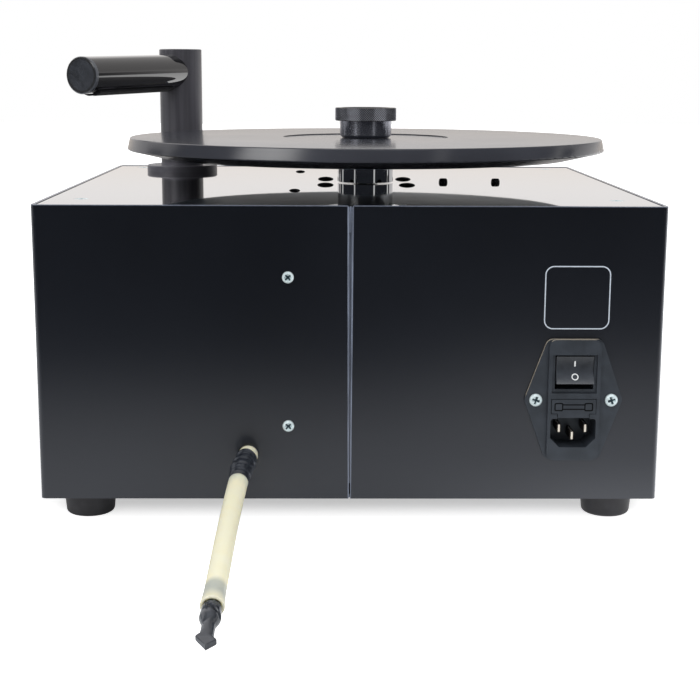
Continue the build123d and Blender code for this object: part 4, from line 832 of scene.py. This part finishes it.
def curve_points(control, name):
    """Points read from the smooth line of a route."""
    curve = bpy.data.curves.new(name, "CURVE")
    curve.dimensions = "3D"
    curve.resolution_u = 24
    spline = curve.splines.new("NURBS")
    spline.points.add(len(control) - 1)
    for point, place in zip(spline.points, control):
        point.co = (*place, 1.0)
    spline.order_u = 3
    spline.use_endpoint_u = True
    holder = bpy.data.objects.new(name, curve)
    bpy.context.scene.collection.objects.link(holder)
    line = bpy.data.meshes.new_from_object(holder)
    points = points_of(line)
    bpy.data.objects.remove(holder)
    bpy.data.meshes.remove(line)
    return points


def resampled(path, count):
    """The same line with evenly spaced points."""
    step = np.linalg.norm(np.diff(path, axis=0), axis=1)
    along = np.concatenate([[0.0], np.cumsum(step)])
    wanted = np.linspace(0.0, along[-1], count)
    return np.stack([np.interp(wanted, along, path[:, i]) for i in range(3)], axis=-1)


# ------------------------------------------------------------------ pieces
class RCM_OT_finishes(Operator):
    """Gives every solid of the frame its finish"""

    bl_idname = "record_cleaner.finishes"
    bl_label = "Finish the solids"

    def execute(self, context):
        for make, nodes in FINISH_OF.items():
            for node in nodes:
                materials = NODES[node].data.materials
                materials.clear()
                materials.append(finish_named(make))
        return {"FINISHED"}


class RCM_OT_round_pieces(Operator):
    """Smooths the turned, bent and moulded pieces that show their curves"""

    bl_idname = "record_cleaner.round_pieces"
    bl_label = "Round pieces"

    TURNED = [
        ("platter", "platter_disc", platter_satin, "platter", "platter_plastic"),
        ("platter_hub", "hub_polished", polished_metal, "platter", "chrome"),
        ("clamp_foot", "clamp_foot_turned", clamp_metal, "clamp_foot", "black_plastic"),
        ("column_collar", "collar_turned", column_satin, "case", "black_plastic"),
        ("swivel_bush", "bush_turned", column_satin, "swivel", "black_plastic"),
        ("column_tube", "column_turned", column_satin, "arm", "black_plastic"),
        ("column_cap", "column_cap_turned", column_satin, "arm", "black_plastic"),
        ("arm_tube", "arm_tube_round", deep_gloss, "arm", "gloss_black"),
        ("arm_end_cap", "arm_cap_round", cap_satin, "arm", "gloss_black"),
        ("feet", "feet_round", moulded_rubber, "case", "rubber"),
        ("drain_stub", "stub_round", hose_silicone, "case", "hose"),
    ]
    ROCKER = ("power_rocker", "rocker_moulded", rocker_plastic, "rocker", "black_plastic")

    def execute(self, context):
        for row in self.TURNED:
            smoothed(*row)
        smoothed(*self.ROCKER, sharp=40.0)
        return {"FINISHED"}


class RCM_OT_clamp_knob(Operator):
    """Turns the clamp's knob with a diamond knurl"""

    bl_idname = "record_cleaner.clamp_knob"
    bl_label = "Clamp knob"

    SPIGOT_R = 9.996 * MM
    SPIGOT_L = 3.0 * MM
    # points of the surface to one ridge, along it and round it
    STEPS = 8

    def execute(self, context):
        """Two families of V grooves at 45 degrees leave small pyramids.

        The radius is R - depth * (1 - the lesser of two triangle waves), one along turn + rise
        and one along turn - rise, both counted in ridges."""
        s = settings().knob
        lo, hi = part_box("clamp_knob")
        radius = (hi.x - lo.x) / 2
        head = lo.z + self.SPIGOT_L
        pitch = 2.0 * math.pi * radius / s.ridges
        low, high = head + s.edge, hi.z - s.edge
        band = np.append(np.arange(low, high - 0.02 * pitch, pitch / self.STEPS), high)
        columns = self.STEPS * s.ridges
        turn = circle(columns) * s.ridges / (2.0 * math.pi)
        rise = (band[:, None] - low) / pitch
        first, second = (1.0 - abs(2.0 * np.mod(w, 1.0) - 1.0) for w in (turn + rise, turn - rise))
        knurl = radius - s.depth * (1.0 - np.minimum(first, second))
        # radius and height of the plain turned parts below and above the knurl
        spigot, groove, chamfer = self.SPIGOT_R, radius - s.depth, radius - s.edge
        below = np.array([
            (spigot, lo.z), (spigot, head), (chamfer, head), (groove, head + 0.9 * s.edge),
        ])
        above = np.array([
            (groove, hi.z - 0.9 * s.edge), (chamfer, hi.z), (0.80 * radius, hi.z),
            (0.78 * radius, hi.z - s.dish), (0.1 * radius, hi.z - s.dish),
        ])
        plain = [np.tile(part[:, :1], columns) for part in (below, above)]
        radii = np.vstack([plain[0], knurl, plain[1]])
        heights = np.concatenate([below[:, 1], band, above[:, 1]])
        shape = loft(turned(radii, heights, columns, PLATTER_AXIS))
        node = "clamp_knob"
        put("clamp_knob_knurled", shape, knurled_metal, node, [node], 20.0)
        return {"FINISHED"}


class RCM_OT_screw_heads(Operator):
    """Turns the low domed screws and the taller pan screws of the top plate"""

    bl_idname = "record_cleaner.screw_heads"
    bl_label = "Screws of the top plate"

    # places from the middle of the case, head radius and height, and shank radius, in millimetres
    MOTOR_SIDE = 50.0
    MOTOR = (5.0, 1.5, 2.0)
    RAIL = ([(-31.3, -62.4), (-31.3, 99.7)], 3.2, 1.1, 1.5)
    TERMINAL = ([(60.7, 6.6), (93.7, 6.6)], 2.8, 2.6, 1.5)
    # how pointed and how square a head is
    DOME = (1.0, 2.0)
    PAN = (0.55, 2.6)
    # where the head's curve ends at the socket, as a share of its height
    CROWN = 0.94

    def execute(self, context):
        middle = (PLATTER_AXIS - CASE_MIDDLE) / MM
        half = self.MOTOR_SIDE / 2
        square = [(middle.x + i * half, middle.y + j * half) for i in (-1, 1) for j in (-1, 1)]
        motor = self.heads("motor_screws", square, *self.MOTOR, *self.DOME)
        self.put_screws("motor_screws", "motor_screws_domed", motor)
        rail = self.heads("plate_screws", *self.RAIL, *self.DOME)
        terminal = self.heads("plate_screws", *self.TERMINAL, *self.PAN)
        self.put_screws("plate_screws", "plate_screws_turned", rail + terminal)
        return {"FINISHED"}

    def heads(self, node, places, radius, height, shank, fall, power):
        """At height h a head's radius is R * (1 - fall * (h / H) ** power) ** 0.5.

        A round socket is sunk in its top, and the shank runs down from it."""
        foot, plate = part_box(node)[0].z / MM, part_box("top_plate")[1].z / MM
        rise = np.linspace(0.0, self.CROWN, 9)
        wide = radius * np.sqrt(1.0 - fall * rise**power)
        top = plate + self.CROWN * height
        sunk = top - 0.5 * height
        profile = [
            (shank, foot), (shank, plate - 0.02), *zip(wide, plate + rise * height),
            (0.8 * wide[-1], top), (0.74 * wide[-1], sunk), (0.1 * wide[-1], sunk),
        ]
        radii, heights = np.array(profile).T * MM
        axes = [from_case((*place, 0.0)) for place in places]
        return [loft(turned(radii[:, None], heights, 32, axis)) for axis in axes]

    def put_screws(self, node, name, screws):
        """One piece of several screws."""
        put(name, joined(screws), black_oxide, "case", [node], 35.0)


class RCM_OT_lift_spring(Operator):
    """Winds the spring under the column at one length, though the real spring shortens as the arm
    is pressed down
    """

    bl_idname = "record_cleaner.lift_spring"
    bl_label = "Lift spring"

    TURNS = 7
    WIRE = 0.9 * MM

    def execute(self, context):
        """The wire's middle line is (R cos a, R sin a, z), where a goes evenly round.

        z rises by one wire in the closed turn at each end and evenly between them."""
        lo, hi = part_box("lift_spring")
        wire = self.WIRE
        share = np.linspace(0.0, 1.0, 40 * self.TURNS)
        angle = 2.0 * math.pi * self.TURNS * share[:, None]
        closed = 1.0 / self.TURNS
        low, high = lo.z + wire, hi.z - wire
        stops = [low, low + 2.0 * wire, high - 2.0 * wire, high]
        height = np.interp(share, [0.0, closed, 1.0 - closed, 1.0], stops)[:, None]
        ring = circle(12)[::-1]
        out = (hi.x - lo.x) / 2 - wire + wire * np.cos(ring)
        x = COLUMN_AXIS.x + out * np.cos(angle)
        y = COLUMN_AXIS.y + out * np.sin(angle)
        shape = loft(np.stack([x, y, height + wire * np.sin(ring)], axis=-1))
        spring = put("lift_spring_wound", shape, rolled_steel, "case", ["lift_spring"])
        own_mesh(spring)
        return {"FINISHED"}


class RCM_OT_drain(Operator):
    """Lays the drain hose with its sleeve and its plug"""

    bl_idname = "record_cleaner.drain"
    bl_label = "Drain hose"

    # how far the sleeve reaches into the hose, and how far its first edge leans along the stub
    TUCKED = 9.0 * MM
    LEAN = 1.8 * MM

    # The plug, in millimetres from the hose's mouth: places along it, and the value at each.
    PLUG_ENDS = (-13.0, 28.35)
    HALF_WIDTH = (
        [-13, -12, 0, 0.4, 7, 9, 14, 20.5, 23.2], [2.6, 3.4, 3.4, 4.2, 4.85, 4.85, 3.1, 3.0, 0.0],
    )
    HALF_HEIGHT = (
        [-13, -12, 0, 0.4, 7, 9, 14, 18.5, 22.5, 28.4],
        [2.6, 3.4, 3.4, 4.2, 4.8, 4.8, 3.1, 2.5, 1.6, 1.55],
    )
    TAIL_LEFT = ([18.1, 21.97, 28.4], [0.4, 5.0, -0.35])
    TAIL_RIGHT = ([18.1, 24.54, 28.4], [-0.4, 5.0, 0.45])
    SQUARENESS = ([12, 18, 22, 24], [2.0, 2.5, 5.0, 8.0])
    SOFTEN = [0.1, 0.2, 0.4, 0.2, 0.1]
    # depth, place, slope and width of the two dents in the head
    NOTCH = (1.9, 4.4, 1.05, 0.95)
    FOLD = (0.45, 12.5, -0.8, 1.3)

    def execute(self, context):
        s = settings().hose
        route = [from_case(p) for p in HOSE_ROUTE]
        path = resampled(curve_points(route, "hose_line"), 97)
        sleeve = self.sleeve(s, route)
        plug = self.plug(path)
        hose = self.hose(s, path)
        return {"FINISHED"}

    def hose(self, s, path):
        """Outer wall one way and bore the other, joined by rounded ends.

        The radius grows by flare * t ** 2 over the last eighth, where the plug widens the mouth."""
        along = np.linspace(0.0, 1.0, len(path))
        radius = s.outer + s.flare * risen(along, 0.88, 0.12) ** 2
        outer, middle, inner = (
            rings_along(path, radius - share * s.wall, 40) for share in (0.0, 0.5, 1.0)
        )
        ahead, _, _ = frames_along(path)
        lip = s.wall / 4
        start, end = middle[:1] - ahead[0] * lip, middle[-1:] + ahead[-1] * lip
        shape = loft(np.concatenate([start, outer, end, inner[::-1]]), looped=True)
        return put("drain_hose_tube", shape, hose_silicone, "case", ["drain_hose"], 70.0)

    def sleeve(self, s, route):
        """A bent tube whose radius swings with uneven waves along and round it.

        Its first edge slants across the stub, and it grows thinner where it enters the hose."""
        first_run = (route[1] - route[0]).normalized()
        bend = route[0] - first_run * SLEEVE_RUN * MM
        start = from_case(STUB_END).lerp(bend, 0.16)
        control = [start, start.lerp(bend, 0.5), bend, route[0], route[0] + first_run * self.TUCKED]
        path = resampled(curve_points(control, "sleeve_line"), 130)
        along = np.linspace(0.0, 1.0, len(path))[:, None]
        angle = circle(48)
        long_wave = np.sin(46.0 * along + 1.3 * np.sin(angle))
        short_wave = np.sin(77.0 * along + 2.0 * np.cos(angle + 1.0))
        inside = risen(along, 0.765, 0.025)
        taper = risen(along, 0.45, 0.32) ** 1.5
        waist = s.sleeve - (s.sleeve - s.outer + 0.2 * MM) * taper
        bore = s.outer - s.wall - 0.1 * MM
        outside = waist + s.wrinkle * (long_wave * 0.6 + short_wave * 0.4)
        rings = rings_along(path, outside * (1.0 - inside) + bore * inside, 48)
        ahead, _, _ = frames_along(path)
        slant = self.LEAN * np.cos(angle + 0.5) * risen(along, 0.25, -0.25)
        shape = loft(rings + slant[..., None] * ahead[:, None])
        node = "hose_sleeve"
        return put("hose_sleeve_wrinkled", shape, sleeve_rubber, "case", [node], 60.0)

    def dent(self, along, across, depth, place, slope, width):
        """depth * exp(-(distance / width) ** 2) from a line that slants across the plug."""
        return depth * np.exp(-(((along - place - slope * across) / width) ** 2))

    def plug(self, path):
        """Rings from a round shank and a swelling head to a flat tail that ends in a corner.

        A ring is a superellipse with its own left and right reach, height and squareness. The
        tail is a rectangle turned in its plane: its reach grows to one corner at each side and
        falls to the tip. A slanting notch, fine ribs and a fold are taken from the head."""
        ahead, side, up = (vectors[-1] for vectors in frames_along(path))
        along = np.linspace(*self.PLUG_ENDS, 130)
        body = np.interp(along, *self.HALF_WIDTH)
        tails = [np.interp(along, *tail) for tail in (self.TAIL_LEFT, self.TAIL_RIGHT)]
        past_body = along > self.HALF_WIDTH[0][-1]
        reaches = [np.where(past_body, tail, np.maximum(body, tail)) for tail in tails]
        left, right, high = (
            np.convolve(np.pad(reach, 2, mode="edge"), self.SOFTEN, "valid")[:, None]
            for reach in (*reaches, np.interp(along, *self.HALF_HEIGHT))
        )
        c, d = np.cos(circle(72)), np.sin(circle(72))
        along = along[:, None]
        power = 2.0 / np.interp(along, *self.SQUARENESS)
        across = (left + right) / 2 * np.sign(c) * abs(c) ** power + (right - left) / 2
        above = high * np.sign(d) * abs(d) ** power
        notch = self.dent(along, across, *self.NOTCH)
        notch = notch * risen(across, -3.0, 1.2) * risen(d, 0.0, 1 / 3)
        fold = self.dent(along, across, *self.FOLD) * risen(c, 0.4, -1.0)
        ribs = 0.10 * np.sin(along * 5.2) * risen(along, 0.0, 0.5) * risen(along, 4.5, -1.0)
        above = above - notch + (ribs - fold) * d
        across = across + ribs * c
        steps = along[..., None] * ahead - across[..., None] * side + above[..., None] * up
        shape = loft(path[-1] + steps * MM)
        node = "drain_plug"
        return put("drain_plug_moulded", shape, sleeve_rubber, "case", [node], 50.0)


class RCM_OT_marks(Operator):
    """Prints the switch's marks and the bare rating plate's outline, and lays the fuse sign's lines
    in painted shade
    """

    bl_idname = "record_cleaner.marks"
    bl_label = "Marks"

    # the rocker's section from its pivot: out to the fold, out to a face's end, and along a face
    ROCKER_FOLD = 6.0 * MM
    ROCKER_END = 8.2 * MM
    ROCKER_HALF = 7.2 * MM
    ROCKER_TILT = math.radians(11.0)
    # thickness of every print
    PRINT = 0.05 * MM
    PLATE_MIDDLE = (118.8, 0.0, 124.3)
    PLATE_SIZE = (34.4 * MM, 33.5 * MM)
    X, Z = np.array([1.0, 0.0, 0.0]), np.array([0.0, 0.0, 1.0])

    def execute(self, context):
        self.switch_marks()
        self.fuse_sign()
        self.rating_outline()
        self.seam_tongue()
        return {"FINISHED"}

    def level(self, outline, height):
        """A flat outline at a height above the printed face."""
        return np.column_stack([outline, np.full(len(outline), height)])

    def slab(self, outline):
        """A flat print: its outline on the face and again at its top."""
        return loft(np.stack([self.level(outline, 0.0), self.level(outline, self.PRINT)]))

    def band(self, outer, inner):
        """A band between two outlines of as many points: outer wall, top and inner wall."""
        walls = [(outer, 0.0), (outer, self.PRINT), (inner, self.PRINT), (inner, 0.0)]
        return loft(np.stack([self.level(*wall) for wall in walls]), looped=True)

    def rounded(self, width, height, radius, steps=8):
        """Anticlockwise outline of a rounded rectangle about the middle: four quarter circles."""
        quarter = np.arange(4)[:, None] * math.pi / 2
        angle = quarter + np.linspace(0.0, math.pi / 2, steps)
        arcs = radius * np.stack([np.cos(angle), np.sin(angle)], axis=-1)
        corners = np.array([(1, 1), (-1, 1), (-1, -1), (1, -1)])
        middles = corners * (width / 2 - radius, height / 2 - radius)
        return (middles[:, None] + arcs).reshape(-1, 2)

    def on_plane(self, shape, origin, right, up):
        """Carries a shape drawn as (right, up, out towards the viewer) into the frame."""
        points, faces = shape
        return np.array(origin) + points @ np.stack([right, up, np.cross(right, up)]), faces

    def switch_marks(self):
        """A bar and a ring, each near the middle of its face of the tilted rocker."""
        drop = self.ROCKER_END - self.ROCKER_FOLD
        tilt = Matrix.Rotation(-self.ROCKER_TILT, 3, "X")
        fold = Vector(JOINT["rocker_tilt"]["pos_m"]) + tilt @ Vector((0.0, -self.ROCKER_FOLD, 0.0))
        disc = np.stack([np.cos(circle(48)), np.sin(circle(48))], axis=-1) * MM
        bar = self.slab(self.rounded(0.75, 3.0, 0.3, 4) * MM)
        ring = self.band(disc * 1.85, disc * 1.3)
        for name, side, plan in (("mark_on", 1.0, bar), ("mark_off", -1.0, ring)):
            along = tilt @ Vector((0.0, -drop, side * self.ROCKER_HALF))
            up = along.normalized() * side
            shape = self.on_plane(plan, fold + along * 0.48, self.X, up)
            put(name, shape, mark_print, "rocker")

    def fuse_sign(self):
        """Two square ends joined by two lines."""
        lo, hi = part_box("fuse_drawer")
        x, z = (lo.x + hi.x) / 2, hi.z - 4.0 * MM
        end = self.band(self.rounded(4.7, 4.5, 0.9) * MM, self.rounded(3.4, 3.2, 0.5) * MM)
        line = self.slab(self.rounded(11.4, 0.62, 0.3, 3) * MM)
        parts = []
        for side in (-1, 1):
            parts.append(self.on_plane(end, (x + side * 7.9 * MM, lo.y, z), self.X, self.Z))
            parts.append(self.on_plane(line, (x, lo.y, z + side * 1.2 * MM), self.X, self.Z))
        # the sign's lines are painted shade
        put("fuse_sign", joined(parts), sign_groove_shade, "fuse_drawer")

    def rating_outline(self):
        """The empty plate's border: one rounded band on the rear wall."""
        (width, height), line, corner = self.PLATE_SIZE, 0.6 * MM, 4.7 * MM
        outer = self.rounded(width, height, corner)
        inner = self.rounded(width - 2 * line, height - 2 * line, corner - line)
        origin = from_case(self.PLATE_MIDDLE)
        origin.y = CASE_LO.y
        shape = self.on_plane(self.band(outer, inner), origin, self.X, self.Z)
        put("rating_outline", shape, plate_print, "case")

    def seam_tongue(self):
        """A flat tongue of the inner strip, seen in the open top of the seam: two rectangles."""
        half = 0.62 * MM
        front, back = CASE_LO.y + 0.7 * MM, CASE_LO.y + 1.3 * MM
        plan = [(-half, front), (half, front), (half, back), (-half, back)]
        heights = [CASE_HI.z - 14.0 * MM, CASE_HI.z - 0.5 * MM]
        rings = np.array([[(CASE_MIDDLE.x + x, y, z) for x, y in plan] for z in heights])
        put("seam_tongue", loft(rings), panel_paint, "case")


# ------------------------------------------------------------------ stage
class RCM_OT_stage(Operator):
    """Places the camera, the floor and the lights"""

    bl_idname = "record_cleaner.stage"
    bl_label = "Stage"

    # place in millimetres from the middle of the case, and turns in degrees
    CAMERA_PLACE = (-10.7, -888.8, 238.6)
    YAW, PITCH, ROLL = 0.84, 11.052, 0.284
    SENSOR = 36.0
    FLOOR_HALF = 6.0

    # bearing in degrees from the rear of the machine, half width, softness, least and greatest
    # height (as the sine of the angle above the floor) and strength of each bright strip
    STRIPS = [
        (-109, 2.5, 1.5, -1.0, 0.7, 1.0),
        (-48, 12.0, 8.0, 0.22, 0.6, 5.5),
        (-46, 2.0, 1.5, -1.0, 0.7, 0.8),
        (36, 2.5, 1.5, -1.0, 0.7, 0.85),
        (105, 2.5, 1.5, -1.0, 0.7, 1.0),
        (128, 1.5, 1.5, -1.0, 0.7, 0.7),
    ]

    def execute(self, context):
        s = settings().stage
        self.camera(s)
        self.floor(s)
        self.surroundings(s)
        self.lamps(s)
        context.scene.view_settings.view_transform = "Standard"
        return {"FINISHED"}

    def camera(self, s):
        """Looks along ahead, with its frame turned by roll about that line."""
        yaw, pitch, roll = (math.radians(a) for a in (self.YAW, self.PITCH, self.ROLL))
        level = Vector((math.cos(yaw), -math.sin(yaw), 0.0))
        forward = Vector((math.sin(yaw), math.cos(yaw), 0.0))
        ahead = forward * math.cos(pitch) - Vector((0.0, 0.0, math.sin(pitch)))
        right = level * math.cos(roll) + level.cross(ahead) * math.sin(roll)
        lens = bpy.data.cameras.new("camera")
        lens.lens = s.focal
        lens.sensor_width = self.SENSOR
        lens.clip_start = 0.05
        lens.clip_end = 50.0
        camera = bpy.data.objects.new("camera", lens)
        turn = Matrix((right, right.cross(ahead), -ahead)).transposed()
        camera.matrix_world = Matrix.Translation(from_case(self.CAMERA_PLACE)) @ turn.to_4x4()
        bpy.context.scene.collection.objects.link(camera)
        bpy.context.scene.camera = camera

    def floor(self, s):
        """Pale, and white to the eye away from the machine, with painted light under the case's
        rear edge that lifts its shadow there.

        In reflections it is lit close to the rear wall and dark farther out."""
        half = self.FLOOR_HALF
        corners = [(-half, -half, 0.0), (half, -half, 0.0), (half, half, 0.0), (-half, half, 0.0)]
        mesh = bpy.data.meshes.new("floor")
        mesh.from_pydata(corners, [], [(0, 1, 2, 3)])
        f = Finish("floor_pale", roughness=0.9, specular_ior_level=0.1)
        gloss = f.ray("Glossy")
        rear = CASE_LO.y
        right = f.x.ramped(CASE_MIDDLE.x, CASE_HI.x)
        far = (f.y + right * 0.10).ramped(rear - 0.08, rear - 0.52) * gloss
        near = gloss * f.y.ramped(rear - 0.16, rear - 0.01) * (0.14 + right * 0.8)
        away = f.around(CASE_MIDDLE).ramped(0.22, 0.6)
        # painted light: extra glow under the case's rear edge, lifting the shadow there
        edge = f.y.ramped(rear + 0.045, rear + 0.012)
        glow = f.ray("Camera") * (0.50 + away * 0.5 + edge * 0.4) + near
        f.set(base_color=f.blend(far, s.floor, (0.02, 0.022, 0.026)))
        f.set(emission_color=f.times((1.0, 1.0, 1.0), glow), emission_strength=1.0)
        mesh.materials.append(f.material)
        floor = bpy.data.objects.new("floor", mesh)
        bpy.context.scene.collection.objects.link(floor)

    def surroundings(self, s):
        """White to the eye. In reflections: pale far beyond the machine, grey walls beside that,
        a pale ceiling, and upright strip lights in a dark room all around.

        A direction is read as its bearing from the rear, in radians, and its height z."""
        world = bpy.data.worlds.new("surroundings")
        bpy.context.scene.world = world
        sheet = Sheet(world)
        x, y, z = sheet.axes(sheet.add("ShaderNodeTexCoord", output="Generated"))
        bearing = x.over(-y)
        glow = z.ramped(0.55, 0.95) * 0.42
        for middle, half, soft, low, high, strength in self.STRIPS:
            off = abs(bearing - math.radians(middle))
            strip = off.ramped(math.radians(half + soft), math.radians(half - 0.5 * soft))
            strip = strip * z.ramped(low - 0.05, low + 0.05) * z.ramped(high + 0.1, high - 0.1)
            glow = strip * strength + glow
        values = {0: sheet.times((1.0, 0.99, 0.97), glow), 1: (0.020, 0.022, 0.027)}
        room = sheet.add("ShaderNodeVectorMath", values, operation="ADD")
        right = x.ramped(-0.2, 0.2)
        left_shade = z.ramped(0.10, 0.38) * (1.0 - right) * 0.4
        right_shade = right * z.ramped(0.10, 0.24) * 0.30
        walls = sheet.times((1.0, 0.97, 0.96), 0.80 + left_shade - right_shade)
        corner = abs(bearing) + z.ramped(0.12, 0.22) * (0.4 - right * 0.2) + right * 0.14
        seen = sheet.blend(corner.ramped(2.13, 2.27) * z.ramped(-0.06, 0.0), room, walls)
        beyond = sheet.blend(z.ramped(0.045, 0.085), (0.82, 0.75, 0.69), (0.90, 0.875, 0.865))
        seen = sheet.blend(y.ramped(0.80, 0.92) * z.ramped(0.5, 0.3), seen, beyond)
        light = sheet.blend(sheet.ray("Glossy"), (s.daylight,) * 3, seen)
        straight = sheet.ray("Camera").greater(sheet.ray("Transmission"))
        light = sheet.blend(straight, light, (1.0, 1.0, 1.0))
        sheet.plug(sheet.tree.nodes["Background"].inputs["Color"], light)

    def lamps(self, s):
        """One broad lamp above and behind the viewer, and one weaker lamp at each side."""
        aim = Vector((CASE_MIDDLE.x, CASE_MIDDLE.y, CASE_HI.z))
        # name, place from the top of the case, share of the power, width and height
        plan = [
            ("lamp_over", (0.1, -1.3, 1.5), 1.0, 1.5, 0.9),
            ("lamp_left", (-1.7, -0.5, 0.7), 0.45, 0.6, 1.2),
            ("lamp_right", (1.7, -0.3, 0.8), 0.4, 0.6, 1.2),
        ]
        for name, away, power, wide, tall in plan:
            lamp = bpy.data.lights.new(name, "AREA")
            lamp.shape = "RECTANGLE"
            lamp.size = wide
            lamp.size_y = tall
            lamp.energy = power * s.overhead
            holder = bpy.data.objects.new(name, lamp)
            holder.visible_glossy = name == "lamp_over"
            holder.location = aim + Vector(away)
            holder.rotation_mode = "QUATERNION"
            holder.rotation_quaternion = (-Vector(away)).to_track_quat("-Z", "Y")
            bpy.context.scene.collection.objects.link(holder)


# ------------------------------------------------------------------ add-on
class RCM_PT_panel(Panel):
    """Lists the machine's groups of pieces"""

    bl_idname = "RCM_PT_panel"
    bl_label = "Record cleaning machine"
    bl_space_type = "VIEW_3D"
    bl_region_type = "UI"
    bl_category = "Record Cleaner"

    def draw(self, context):
        layout = self.layout
        for operator in OPERATORS:
            layout.operator(operator.bl_idname)
        s = settings()
        for group in (s.colours, s.knob, s.hose, s.stage):
            box = layout.box()
            for key in group.__annotations__:
                box.prop(group, key)


GROUPS = [FinishColours, KnobSizes, HoseSizes, StageSettings, MachineSettings]
OPERATORS = [
    RCM_OT_stage,
    RCM_OT_finishes,
    RCM_OT_round_pieces,
    RCM_OT_clamp_knob,
    RCM_OT_screw_heads,
    RCM_OT_lift_spring,
    RCM_OT_drain,
    RCM_OT_marks,
]


def register():
    for cls in [*GROUPS, *OPERATORS, RCM_PT_panel]:
        bpy.utils.register_class(cls)
    bpy.types.Scene.record_cleaner = PointerProperty(type=MachineSettings)


def unregister():
    del bpy.types.Scene.record_cleaner
    for cls in reversed([*GROUPS, *OPERATORS, RCM_PT_panel]):
        bpy.utils.unregister_class(cls)


def main():
    """Stage, finishes and pieces in order."""
    register()
    bpy.ops.record_cleaner.stage()
    bpy.ops.record_cleaner.finishes()
    bpy.ops.record_cleaner.round_pieces()
    bpy.ops.record_cleaner.clamp_knob()
    bpy.ops.record_cleaner.screw_heads()
    bpy.ops.record_cleaner.lift_spring()
    bpy.ops.record_cleaner.drain()
    bpy.ops.record_cleaner.marks()


if __name__ == "__main__":
    main()
